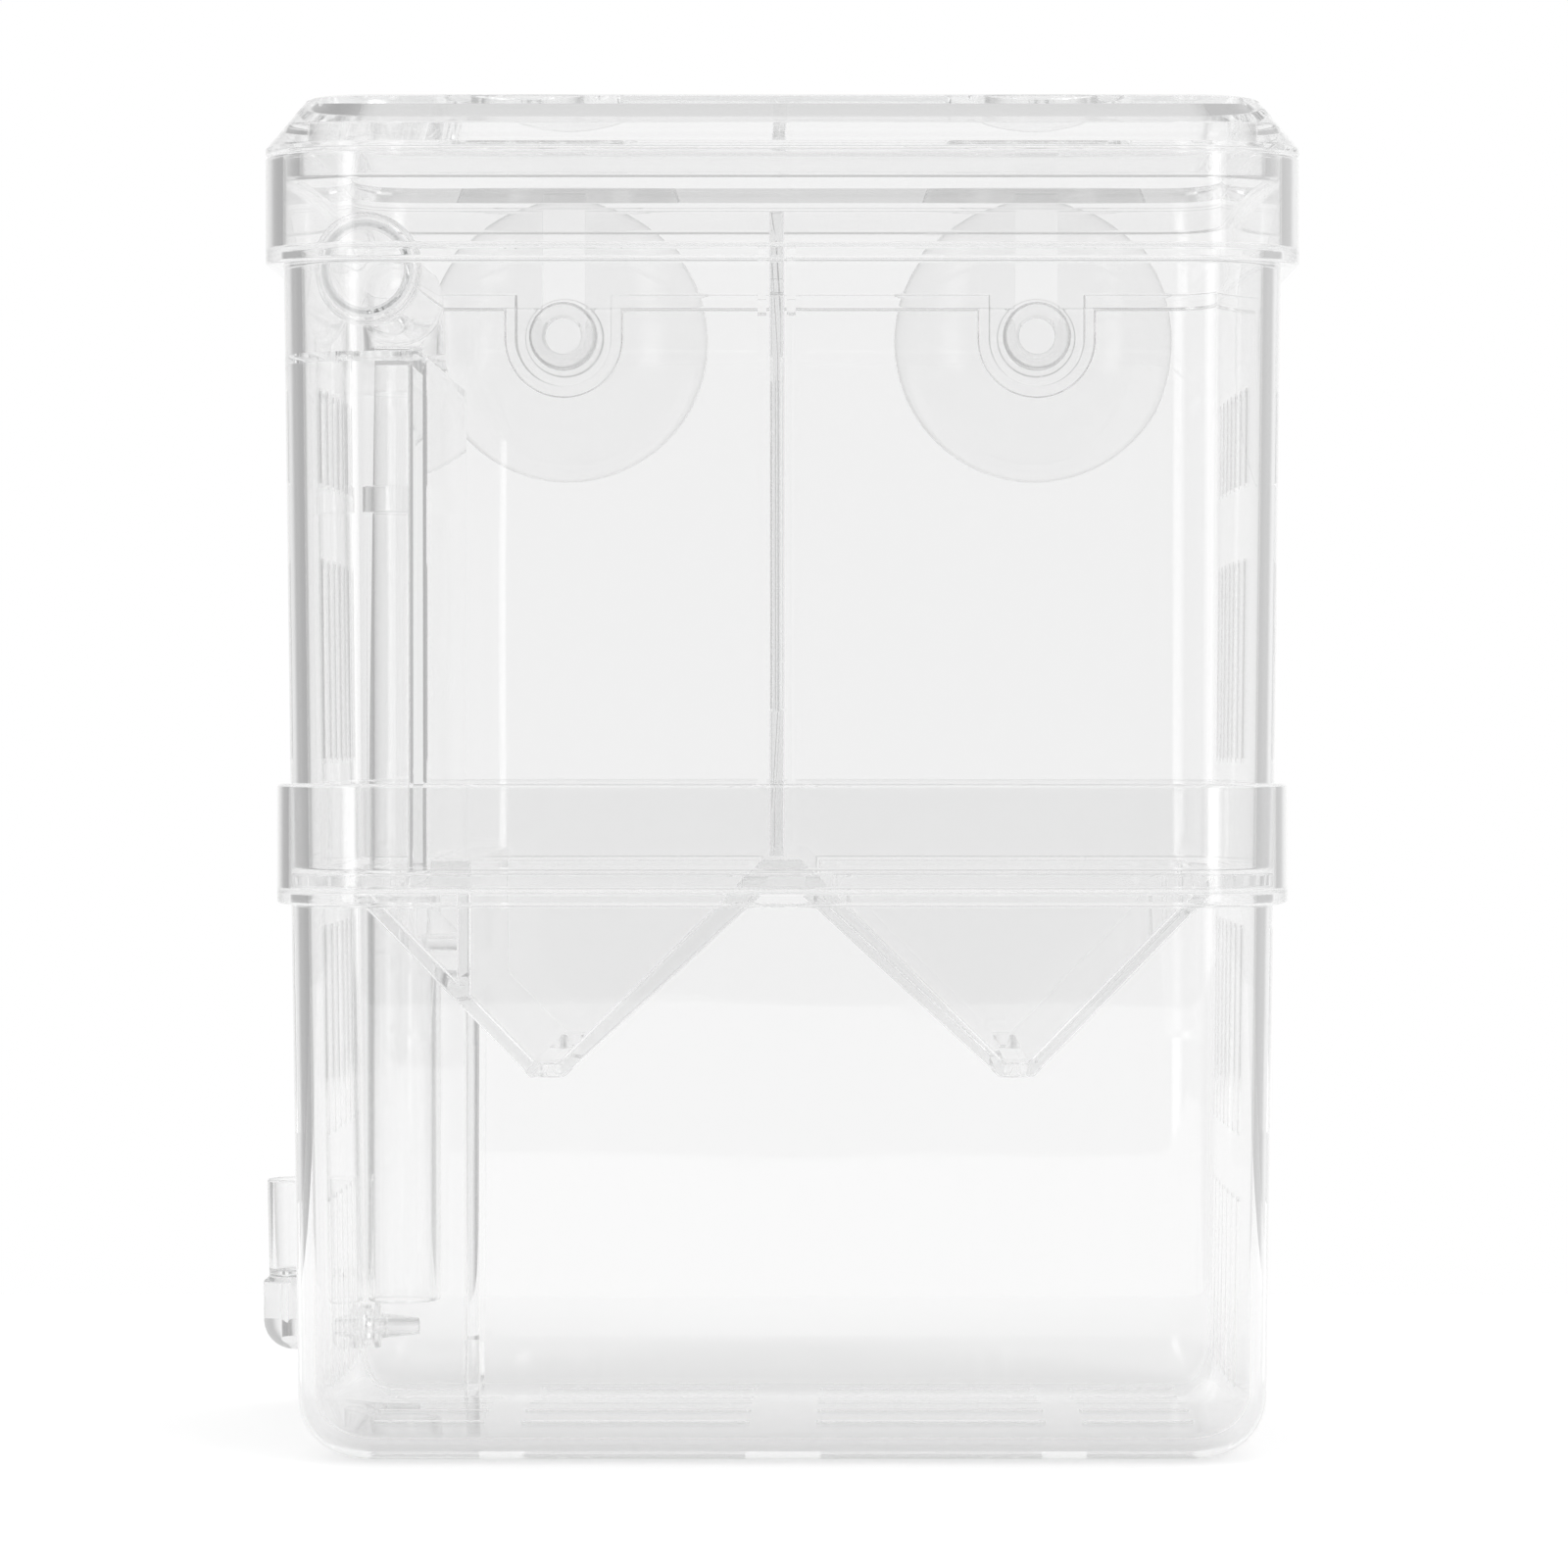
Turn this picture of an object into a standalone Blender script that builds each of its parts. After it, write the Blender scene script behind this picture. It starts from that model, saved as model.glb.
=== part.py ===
"""Fish breeding box: a clear two-storey box that hangs inside an aquarium on two suction cups.

Fry drop through a pair of V hoppers into the lower box, and an air lift at the back left corner
draws water up from the lower box and pours it back through a spout under the lid.
Metres, +Z up. The origin is the centre of the underside, and the front looks along -Y.
"""

import math

import bmesh
import bpy
from mathutils import Matrix, Vector

# Whole box, over the upper collar and the lid
BOX_WIDTH = 0.1074
BOX_DEPTH = 0.0800
CORNER_RADIUS = 0.0120
COLLAR_WALL = 0.0018
WALL = 0.0018

# Clearances
SEAT_GAP = 0.0003
SLIDE_GAP = 0.0003
OVERRUN = 0.0020

# Lower box
LOWER_HEIGHT = 0.0700
LOWER_COLLAR_HEIGHT = 0.0111
LOWER_COLLAR_WALL = 0.0012
LOWER_WALL = 0.0017
LOWER_DRAFT = 0.0008
FLOOR_THICKNESS = 0.0020
FOOT_FILLET = 0.0065
FLANGE_THICKNESS = 0.0014
RIM_ROUND = 0.0004

# Upper box
UPPER_HEIGHT = 0.0737
UPPER_COLLAR_HEIGHT = 0.0112
UPPER_COLLAR_STEP = 0.0019
UPPER_DRAFT = 0.0008
SHELF_THICKNESS = 0.0016

# Water slots in the end walls: two bands in each box
SLOT_WIDTH = 0.0011
SIDE_SLOT_COUNT = 7
SIDE_SLOT_MARGIN = 0.0220
LOWER_SLOT_BOTTOM = 0.0062
LOWER_SLOT_DROP = 0.0025
LOWER_SLOT_BRIDGE = 0.0064
LOWER_BAND_SHARE = 0.476
UPPER_SLOT_RISE = 0.0020
UPPER_SLOT_DROP = 0.0009
UPPER_SLOT_BRIDGE = 0.0074
UPPER_BAND_SHARE = 0.671

# Water slots in the floor
FLOOR_SLOT_ROWS = 6
FLOOR_SLOT_END = 0.0075
FLOOR_SLOT_MARGIN = 0.0006
FLOOR_SLOT_INNER = 0.0035
FLOOR_SLOT_BRIDGE = 0.0038
FLOOR_LONG_SLOT_SHARE = 0.67

# Hopper tray
TRAY_PLATE = 0.0016
TRAY_WALL = 0.0015
TRAY_LEDGE = 0.0025
HOPPER_DEPTH = 0.0210
HOPPER_SIDE_LEDGE = 0.0075
HOPPER_CENTRE_SHARE = 0.522
HOPPER_FOOT_WIDTH = 0.0035
HOPPER_SLOT_WIDTH = 0.0024
HOPPER_SLOT_MARGIN = 0.0080
HOPPER_END_WALL = 0.0012
RIDGE_HEIGHT = 0.0015
RIDGE_WIDTH = 0.0038
TRAY_RAIL_WIDTH = 0.0045
TRAY_RAIL_HEIGHT = 0.0014

# Side channel and divider of the upper box
CHANNEL_WIDTH = 0.0173
CHANNEL_DROP = 0.0204
CHANNEL_CAP = 0.0019
DIVIDER_OFFSET = 0.0005
DIVIDER_THICKNESS = 0.0015
DIVIDER_EDGE_THICKNESS = 0.0009
DIVIDER_DROP = 0.0060
DIVIDER_TAB_HEIGHT = 0.0150
DIVIDER_EDGE_WIDTH = 0.0030
GROOVE_RIB = 0.0009
GROOVE_RIB_DEPTH = 0.0014

# Lid
LID_PLATE = 0.0016
LID_HEIGHT = 0.0057
LID_CHAMFER_WIDTH = 0.0043
LID_RIM = 0.0006
LID_LIP_DEPTH = 0.0030
LID_LIP_WALL = 0.0014
FEED_HOLE_DIAMETER = 0.0198
FEED_HOLE_PLACE_SHARE = 0.254

# Riser tube, its chamber and the outlet elbow
RISER_SIDE = 0.00995
RISER_BACK = 0.0118
RISER_DIAMETER = 0.0092
TUBE_WALL = 0.0010
RISER_FOOT_RISE = 0.0029
COUPLING_HEIGHT = 0.0030
COUPLING_DROP = 0.0144
COUPLING_WALL = 0.0004
SPOUT_RISE = 0.0094
SPOUT_DIAMETER = 0.0102
SPOUT_FRONT = 0.0166
ELBOW_RADIUS = 0.0066
ELBOW_SOCKET_WALL = 0.0005
SPOUT_RING_DIAMETER = 0.0119
SPOUT_RING_LENGTH = 0.0030
CHAMBER_WIDTH = 0.0192
CHAMBER_DEPTH = 0.0190
CHAMBER_WALL = 0.0015
CHAMBER_CORNER = 0.0019
CHAMBER_TOP_DROP = 0.0012
CHAMBER_INLET_WIDTH = 0.0070
CHAMBER_INLET_HEIGHT = 0.0050

# Air inlet
AIR_Z = 0.0085
AIR_BORE = 0.0012
AIR_SOCKET_BORE = 0.0030
AIR_BOSS_DIAMETER = 0.0050
AIR_BOSS_LENGTH = 0.0012
AIR_PIN_DIAMETER = 0.0034
AIR_NOZZLE_DIAMETER = 0.0028
AIR_TIP_WALL = 0.0003
AIR_JET_OVERLAP = 0.0022
AIR_BODY_DIAMETER = 0.0084
AIR_BODY_DROP = 0.0027
AIR_BODY_ROUND = 0.0034
AIR_NECK_DIAMETER = 0.0052
AIR_REACH = 0.0048
AIR_SHOULDER_RISE = 0.0055
AIR_SOCKET_DIAMETER = 0.0071
AIR_SOCKET_FLARE = 0.00025
AIR_SOCKET_WALL = 0.0008
AIR_SOCKET_TOP_RISE = 0.0165

# Suction cups and their pockets
CUP_PLACE_SHARE = 0.2514
CUP_OFFSET = 0.0012
CUP_DROP = 0.0143
CUP_DIAMETER = 0.0325
CUP_DEPTH = 0.0088
CUP_SKIN = 0.0014
CUP_NECK_DIAMETER = 0.0043
CUP_HEAD_DIAMETER = 0.0078
CUP_HEAD_LENGTH = 0.0020
CUP_STEM_DIAMETER = 0.0090
POCKET_WIDTH = 0.0135
POCKET_BOTTOM_DROP = 0.0070
POCKET_RECESS_WIDTH = 0.0110
KEYHOLE_WIDTH = 0.0049

# Roundness
CORNER_STEPS = 6
FILLET_STEPS = 5
SKIRT_STEPS = 7
BEND_STEPS = 8
TUBE_STEPS = 24
CUP_STEPS = 32

# Heights worked out from the sizes above, from the floor up
SHELF_Z = LOWER_HEIGHT - LOWER_COLLAR_HEIGHT
LOWER_FLANGE_Z = SHELF_Z - FLANGE_THICKNESS
TRAY_Z = SHELF_Z + SEAT_GAP
TRAY_TOP_Z = TRAY_Z + TRAY_PLATE
HOPPER_BOTTOM_Z = TRAY_TOP_Z - HOPPER_DEPTH
RIDGE_TOP_Z = TRAY_TOP_Z + RIDGE_HEIGHT
DIVIDER_FOOT_Z = RIDGE_TOP_Z + SEAT_GAP
UPPER_FOOT_Z = TRAY_TOP_Z + SEAT_GAP
RIM_Z = UPPER_FOOT_Z + UPPER_HEIGHT
UPPER_FLANGE_Z = RIM_Z - UPPER_COLLAR_HEIGHT
UPPER_SHELF_Z = UPPER_FLANGE_Z + SHELF_THICKNESS
LID_Z = RIM_Z + SEAT_GAP
LID_TOP_Z = LID_Z + LID_HEIGHT
CHANNEL_TOP_Z = RIM_Z - CHANNEL_DROP
DIVIDER_TOP_Z = RIM_Z - DIVIDER_DROP
CUP_Z = RIM_Z - CUP_DROP
COUPLING_Z = CHANNEL_TOP_Z - COUPLING_DROP
SPOUT_Z = CHANNEL_TOP_Z + SPOUT_RISE
ELBOW_BEND_Z = SPOUT_Z - ELBOW_RADIUS
ELBOW_SEAT_Z = ELBOW_BEND_Z - SEAT_GAP - TUBE_WALL
RISER_TOP_Z = ELBOW_SEAT_Z - SEAT_GAP
RISER_FOOT_Z = AIR_Z + RISER_FOOT_RISE

# Insets from the upper collar's outer face
FOOT_INSET = UPPER_COLLAR_STEP + UPPER_DRAFT
LOWER_COLLAR_IN = FOOT_INSET - SLIDE_GAP
LOWER_COLLAR_OUT = LOWER_COLLAR_IN - LOWER_COLLAR_WALL
LOWER_BASE_INSET = FOOT_INSET + LOWER_DRAFT

# Places across the box
CHANNEL_WALL_X = BOX_WIDTH / 2 - CHANNEL_WIDTH
TRAY_WEB_X = CHANNEL_WALL_X - TRAY_RAIL_WIDTH
HOPPER_TOP_X = BOX_WIDTH / 2 - HOPPER_SIDE_LEDGE
HOPPER_X = HOPPER_TOP_X * HOPPER_CENTRE_SHARE
HOPPER_REACH_Y = BOX_DEPTH / 2 - LOWER_BASE_INSET - LOWER_WALL - SLIDE_GAP
RISER_X = RISER_SIDE - BOX_WIDTH / 2
RISER_Y = BOX_DEPTH / 2 - RISER_BACK
CHAMBER_X = CHAMBER_WIDTH - BOX_WIDTH / 2
CHAMBER_Y = BOX_DEPTH / 2 - CHAMBER_DEPTH
END_WALL_X = LOWER_BASE_INSET - BOX_WIDTH / 2
AIR_AXIS_X = END_WALL_X - AIR_REACH
CUP_X = BOX_WIDTH * CUP_PLACE_SHARE
FEED_HOLE_X = BOX_WIDTH * FEED_HOLE_PLACE_SHARE


def material(name, colour, roughness, transmission, ior):
    """A clear plastic with the given tint."""
    mat = bpy.data.materials.new(name)
    mat.use_nodes = True
    shader = mat.node_tree.nodes["Principled BSDF"]
    shader.inputs["Base Color"].default_value = (*colour, 1)
    shader.inputs["Roughness"].default_value = roughness
    shader.inputs["Metallic"].default_value = 0
    shader.inputs["Transmission Weight"].default_value = transmission
    shader.inputs["IOR"].default_value = ior
    return mat


def new_object(name, verts, faces, colour=(0.93, 0.95, 0.96), roughness=0.04, ior=1.57):
    """A mesh object with its own clear material, shaded smooth below the sharp edges."""
    mesh = bpy.data.meshes.new(name)
    mesh.from_pydata([tuple(v) for v in verts], [], faces)
    shape = bmesh.new()
    shape.from_mesh(mesh)
    bmesh.ops.recalc_face_normals(shape, faces=shape.faces)
    shape.to_mesh(mesh)
    shape.free()
    obj = bpy.data.objects.new(name, mesh)
    bpy.context.collection.objects.link(obj)
    mesh.materials.append(material(name, colour, roughness, 0.95, ior))
    mesh.shade_smooth()
    mesh.set_sharp_from_angle(angle=math.radians(35))
    return obj


def guide(name, verts, faces):
    """A hidden shape that only cuts or joins another one."""
    obj = new_object(name, verts, faces)
    obj.hide_render = True
    obj.display_type = "WIRE"
    return obj


def apply_shape(obj, other, operation):
    """Adds a Boolean to obj that takes away, joins or keeps what other covers."""
    step = obj.modifiers.new(other.name, "BOOLEAN")
    step.operation = operation
    step.object = other
    step.solver = "EXACT"
    other.parent = obj


def merge(shapes):
    """One list of vertices and faces from several separate closed shapes."""
    verts = []
    faces = []
    for shape_verts, shape_faces in shapes:
        start = len(verts)
        verts += list(shape_verts)
        faces += [tuple(start + i for i in face) for face in shape_faces]
    return verts, faces


def rounded_outline(half_x, half_y, radius, steps=CORNER_STEPS):
    """Points of a rounded rectangle, counter-clockwise from its right side's front end."""
    points = []
    for quarter, (sign_x, sign_y) in enumerate(((1, -1), (1, 1), (-1, 1), (-1, -1))):
        for step in range(steps + 1):
            angle = math.radians(90) * (quarter - 1 + step / steps)
            points.append(
                (
                    sign_x * (half_x - radius) + radius * math.cos(angle),
                    sign_y * (half_y - radius) + radius * math.sin(angle),
                )
            )
    return points


def box_outline(inset):
    """The box's rounded plan, moved in by inset from the collar's outer face."""
    return rounded_outline(BOX_WIDTH / 2 - inset, BOX_DEPTH / 2 - inset, CORNER_RADIUS - inset)


def ring_stack(sections, closed):
    """Skin through (inset, z) sections: a tube wall when closed, else capped at both ends."""
    count = len(box_outline(0))
    verts = [(x, y, z) for inset, z in sections for x, y in box_outline(inset)]
    faces = []
    pairs = len(sections) if closed else len(sections) - 1
    for row in range(pairs):
        low = row * count
        high = (row + 1) % len(sections) * count
        for i in range(count):
            j = (i + 1) % count
            faces.append((low + i, low + j, high + j, high + i))
    if not closed:
        last = (len(sections) - 1) * count
        faces.append(tuple(reversed(range(count))))
        faces.append(tuple(range(last, last + count)))
    return verts, faces


def fillet_sections(side_inset, base_z, radius, rising):
    """Sections of a rounded foot, from the flat base to the side when rising."""
    steps = range(FILLET_STEPS + 1) if rising else reversed(range(FILLET_STEPS + 1))
    angles = [math.radians(90) * step / FILLET_STEPS for step in steps]
    return [
        (side_inset + radius * (1 - math.sin(a)), base_z + radius * (1 - math.cos(a))) for a in angles
    ]


def prism(points, low, high, axis):
    """A polygon extruded along Z ("z", points x y) or along Y ("y", points x z)."""
    count = len(points)
    if axis == "z":
        rings = [[(x, y, level) for x, y in points] for level in (low, high)]
    else:
        rings = [[(x, level, z) for x, z in points] for level in (high, low)]
    faces = [(i, (i + 1) % count, count + (i + 1) % count, count + i) for i in range(count)]
    faces += [tuple(reversed(range(count))), tuple(range(count, 2 * count))]
    return rings[0] + rings[1], faces


def block(x0, x1, y0, y1, z0, z1):
    """A plain box between two corners."""
    return prism([(x0, y0), (x1, y0), (x1, y1), (x0, y1)], z0, z1, "z")


def stadium(length, width, steps=4):
    """A slot's outline along the first axis, with round ends, about the origin."""
    reach = length / 2 - width / 2
    points = []
    for side in (1, -1):
        for step in range(steps + 1):
            angle = math.radians(-90 + 180 * step / steps)
            points.append((side * (reach + width / 2 * math.cos(angle)), side * width / 2 * math.sin(angle)))
    return points


def lathe(profile, steps, axis, centre, first_share=0):
    """A closed (radius, along) profile turned about an axis through centre.

    The profile runs so that its outer side goes up the axis. Points at radius zero become poles.
    The first point lies first_share of a step round from the axis's side.
    """
    turn = {
        "z": Matrix.Identity(3),
        "y": Matrix(((0, 1, 0), (0, 0, 1), (1, 0, 0))),
        "x": Matrix(((0, 0, 1), (1, 0, 0), (0, 1, 0))),
    }[axis]
    verts = []
    rings = []
    for radius, along in profile:
        if radius == 0:
            rings.append([len(verts)] * steps)
            verts.append(Vector(centre) + turn @ Vector((0, 0, along)))
            continue
        rings.append(list(range(len(verts), len(verts) + steps)))
        for step in range(steps):
            angle = math.radians(360) * (step + first_share) / steps
            point = Vector((radius * math.cos(angle), radius * math.sin(angle), along))
            verts.append(Vector(centre) + turn @ point)
    faces = []
    closed = profile[0][0] != 0
    for row in range(len(rings) if closed else len(rings) - 1):
        low = rings[row]
        high = rings[(row + 1) % len(rings)]
        for i in range(steps):
            j = (i + 1) % steps
            corners = [low[i], low[j], high[j], high[i]]
            face = tuple(dict.fromkeys(corners))
            if len(face) > 2:
                faces.append(face)
    return verts, faces


def tube_sweep(stations, steps):
    """A pipe in the YZ plane through (centre, direction, outer radius, inner radius) stations."""
    verts = []
    for centre, direction, outer, inner in stations:
        side = Vector((1, 0, 0))
        up = Vector(direction).cross(side)
        for radius in (outer, inner):
            for step in range(steps):
                angle = math.radians(360) * step / steps
                verts.append(Vector(centre) + radius * (side * math.cos(angle) + up * math.sin(angle)))
    faces = []
    for row in range(len(stations) - 1):
        low = row * 2 * steps
        high = low + 2 * steps
        for i in range(steps):
            j = (i + 1) % steps
            faces.append((low + j, low + i, high + i, high + j))
            faces.append((low + steps + i, low + steps + j, high + steps + j, high + steps + i))
    last = (len(stations) - 1) * 2 * steps
    for i in range(steps):
        j = (i + 1) % steps
        faces.append((i, j, steps + j, steps + i))
        faces.append((last + j, last + i, last + steps + i, last + steps + j))
    return verts, faces


def place(shape, matrix):
    """The same shape moved by a matrix."""
    verts, faces = shape
    return [matrix @ Vector(v) for v in verts], faces


def side_slots(bands, reach):
    """Upright slots through both end walls, in bands of (bottom, top) heights."""
    span = BOX_DEPTH - 2 * SIDE_SLOT_MARGIN
    pitch = span / (SIDE_SLOT_COUNT - 1)
    shapes = []
    for bottom, top in bands:
        outline = [(y, z) for z, y in stadium(top - bottom, SLOT_WIDTH)]
        for side in (-1, 1):
            low = min(side * reach, side * (reach - WALL - 2 * OVERRUN))
            high = low + WALL + 2 * OVERRUN
            for number in range(SIDE_SLOT_COUNT):
                y = -span / 2 + pitch * number
                slot = prism(outline, low, high, "z")
                turn = Matrix(((0, 0, 1, 0), (1, 0, 0, y), (0, 1, 0, (bottom + top) / 2), (0, 0, 0, 1)))
                shapes.append(place(slot, turn))
    return shapes


def two_bands(bottom, top, bridge, low_share):
    """Heights of two slot bands between bottom and top, with a bridge between them."""
    low_top = bottom + (top - bottom - bridge) * low_share
    return ((bottom, low_top), (low_top + bridge, top))


def floor_slots():
    """Rows of slots through the floor, a long and a short one each side of the middle."""
    shapes = []
    reach = BOX_WIDTH / 2 - LOWER_BASE_INSET - FOOT_FILLET - FLOOR_SLOT_MARGIN
    run = reach - FLOOR_SLOT_INNER - FLOOR_SLOT_BRIDGE
    long_slot = run * FLOOR_LONG_SLOT_SHARE
    short_slot = run - long_slot
    columns = ((FLOOR_SLOT_INNER + long_slot / 2, long_slot), (reach - short_slot / 2, short_slot))
    last_y = BOX_DEPTH / 2 - LOWER_BASE_INSET - FOOT_FILLET - FLOOR_SLOT_END
    for row in range(FLOOR_SLOT_ROWS):
        y = last_y * (2 * row / (FLOOR_SLOT_ROWS - 1) - 1)
        for side in (-1, 1):
            for centre, length in columns:
                behind_front = y > CHAMBER_Y - 2 * SLOT_WIDTH
                if side < 0 and behind_front and centre + length / 2 > -CHAMBER_X:
                    continue
                outline = [(side * centre + x, y + dy) for x, dy in stadium(length, SLOT_WIDTH)]
                shapes.append(prism(outline, -OVERRUN, FLOOR_THICKNESS + OVERRUN, "z"))
    return shapes


def build_lower_box():
    """Rounded tapering cup with a stepped-out collar, the riser chamber and the air boss."""
    top_inset = FOOT_INSET
    inner_top = top_inset + LOWER_WALL
    inner_base = LOWER_BASE_INSET + LOWER_WALL
    inner_fillet = FOOT_FILLET - LOWER_WALL
    sections = fillet_sections(LOWER_BASE_INSET, 0, FOOT_FILLET, True)
    sections += [
        (top_inset, LOWER_FLANGE_Z),
        (LOWER_COLLAR_OUT + RIM_ROUND, LOWER_FLANGE_Z),
        (LOWER_COLLAR_OUT, LOWER_FLANGE_Z + RIM_ROUND),
        (LOWER_COLLAR_OUT, LOWER_HEIGHT - RIM_ROUND),
        (LOWER_COLLAR_OUT + RIM_ROUND, LOWER_HEIGHT),
        (LOWER_COLLAR_IN, LOWER_HEIGHT),
        (LOWER_COLLAR_IN, SHELF_Z),
        (inner_top, SHELF_Z),
    ]
    sections += fillet_sections(inner_base, FLOOR_THICKNESS, inner_fillet, False)
    box = new_object("lower_box", *ring_stack(sections, False))

    chamber_top = SHELF_Z - CHAMBER_TOP_DROP
    outer = [
        (-BOX_WIDTH / 2, CHAMBER_Y),
        *corner_points(CHAMBER_X, CHAMBER_Y, CHAMBER_CORNER),
        (CHAMBER_X, BOX_DEPTH / 2),
        (-BOX_WIDTH / 2, BOX_DEPTH / 2),
    ]
    inner = [
        (-BOX_WIDTH / 2 - OVERRUN, CHAMBER_Y + CHAMBER_WALL),
        *corner_points(CHAMBER_X - CHAMBER_WALL, CHAMBER_Y + CHAMBER_WALL, CHAMBER_CORNER - CHAMBER_WALL),
        (CHAMBER_X - CHAMBER_WALL, BOX_DEPTH / 2 + OVERRUN),
        (-BOX_WIDTH / 2 - OVERRUN, BOX_DEPTH / 2 + OVERRUN),
    ]
    chamber = guide("lower_box_chamber", *prism(outer, FLOOR_THICKNESS / 2, chamber_top, "z"))
    hollow = guide("lower_box_chamber_hollow", *prism(inner, -OVERRUN, SHELF_Z + OVERRUN, "z"))
    mid_wall = [
        (LOWER_BASE_INSET + LOWER_WALL / 2, FLOOR_THICKNESS / 2),
        (top_inset + LOWER_WALL / 2, chamber_top + OVERRUN),
    ]
    core = [(LOWER_BASE_INSET + FOOT_FILLET, FLOOR_THICKNESS / 2)]
    core += fillet_sections(mid_wall[0][0], FLOOR_THICKNESS / 2, FOOT_FILLET - LOWER_WALL / 2, True)[1:]
    core.append(mid_wall[1])
    bounds = guide("lower_box_core", *ring_stack(core, False))
    apply_shape(chamber, hollow, "DIFFERENCE")
    apply_shape(chamber, bounds, "INTERSECT")
    apply_shape(box, chamber, "UNION")

    wall_in = END_WALL_X + LOWER_WALL
    boss_profile = [
        (0, END_WALL_X + LOWER_WALL / 2),
        (AIR_BOSS_DIAMETER / 2, END_WALL_X + LOWER_WALL / 2),
        (AIR_BOSS_DIAMETER / 2, wall_in + AIR_BOSS_LENGTH),
        (0, wall_in + AIR_BOSS_LENGTH),
    ]
    boss = guide("lower_box_air_boss", *lathe(boss_profile, TUBE_STEPS, "x", (0, RISER_Y, AIR_Z)))
    apply_shape(box, boss, "UNION")

    pin_hole = AIR_PIN_DIAMETER / 2 + SLIDE_GAP
    hole_profile = [
        (0, END_WALL_X - OVERRUN),
        (pin_hole, END_WALL_X - OVERRUN),
        (pin_hole, wall_in + AIR_BOSS_LENGTH + OVERRUN),
        (0, wall_in + AIR_BOSS_LENGTH + OVERRUN),
    ]
    bore = lathe(hole_profile, TUBE_STEPS, "x", (0, RISER_Y, AIR_Z))
    inlet_y = (CHAMBER_Y + BOX_DEPTH / 2 - LOWER_BASE_INSET - LOWER_WALL) / 2
    inlet = block(
        CHAMBER_X - CHAMBER_WALL - OVERRUN,
        CHAMBER_X + OVERRUN,
        inlet_y - CHAMBER_INLET_WIDTH / 2,
        inlet_y + CHAMBER_INLET_WIDTH / 2,
        FLOOR_THICKNESS + SEAT_GAP,
        FLOOR_THICKNESS + SEAT_GAP + CHAMBER_INLET_HEIGHT,
    )
    slot_top = LOWER_FLANGE_Z - LOWER_SLOT_DROP
    bands = two_bands(LOWER_SLOT_BOTTOM, slot_top, LOWER_SLOT_BRIDGE, LOWER_BAND_SHARE)
    slots = side_slots(bands, BOX_WIDTH / 2 - FOOT_INSET + OVERRUN)
    cuts = guide("lower_box_openings", *merge([bore, inlet, *slots, *floor_slots()]))
    apply_shape(box, cuts, "DIFFERENCE")


def corner_points(x, y, radius):
    """The rounded front right corner of an outline, counter-clockwise."""
    return [
        (
            x - radius + radius * math.cos(math.radians(-90 + 90 * step / CORNER_STEPS)),
            y + radius + radius * math.sin(math.radians(-90 + 90 * step / CORNER_STEPS)),
        )
        for step in range(CORNER_STEPS + 1)
    ]


def hopper_lines():
    """Slopes and foot widths that the tray's section and end walls share."""
    half_foot = HOPPER_FOOT_WIDTH / 2
    rise = HOPPER_DEPTH / (HOPPER_TOP_X - HOPPER_X - half_foot)
    slope = math.atan(rise)
    thickness_x = TRAY_WALL / math.sin(slope)
    inner_foot = half_foot - TRAY_WALL * (1 / math.cos(slope) - 1) / rise
    return half_foot, rise, thickness_x, inner_foot


def hopper_profile():
    """The tray's section across its width: two V hoppers, their ridge, the web and its rail."""
    low = HOPPER_BOTTOM_Z
    floor = low + TRAY_WALL
    half_foot, rise, thickness_x, inner_foot = hopper_lines()
    ridge = RIDGE_WIDTH / 2
    ridge_rise = (RIDGE_TOP_Z - floor) / (HOPPER_X - inner_foot - ridge)
    under_ridge = low + (HOPPER_X - half_foot - ridge) * ridge_rise - TRAY_WALL
    web_left = TRAY_WEB_X + TRAY_WALL
    rail_left = CHANNEL_WALL_X - SLIDE_GAP
    rail_top = TRAY_TOP_Z + TRAY_RAIL_HEIGHT
    ledge_left = CHANNEL_WALL_X + WALL

    def slope_top(x):
        """Height of the outer slope's upper face."""
        return low + (x + thickness_x - HOPPER_X - half_foot) * rise

    right = [
        (ridge, under_ridge),
        (HOPPER_X - half_foot, low),
        (HOPPER_X + half_foot, low),
        (HOPPER_TOP_X, TRAY_TOP_Z),
        (HOPPER_TOP_X - thickness_x, TRAY_TOP_Z),
        (HOPPER_X + inner_foot, floor),
        (HOPPER_X - inner_foot, floor),
        (ridge, RIDGE_TOP_Z),
    ]
    left = [
        (-ridge, RIDGE_TOP_Z),
        (inner_foot - HOPPER_X, floor),
        (-inner_foot - HOPPER_X, floor),
        (-TRAY_WEB_X, slope_top(TRAY_WEB_X)),
        (-TRAY_WEB_X, rail_top),
        (-rail_left, rail_top),
        (-rail_left, TRAY_TOP_Z),
        (-ledge_left, TRAY_TOP_Z),
        (-ledge_left, TRAY_Z),
        (-web_left, TRAY_Z),
        (-web_left, slope_top(web_left)),
        (thickness_x - HOPPER_TOP_X, TRAY_TOP_Z),
        (-HOPPER_TOP_X, TRAY_TOP_Z),
        (-half_foot - HOPPER_X, low),
        (half_foot - HOPPER_X, low),
        (-ridge, under_ridge),
    ]
    return right + left


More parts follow.
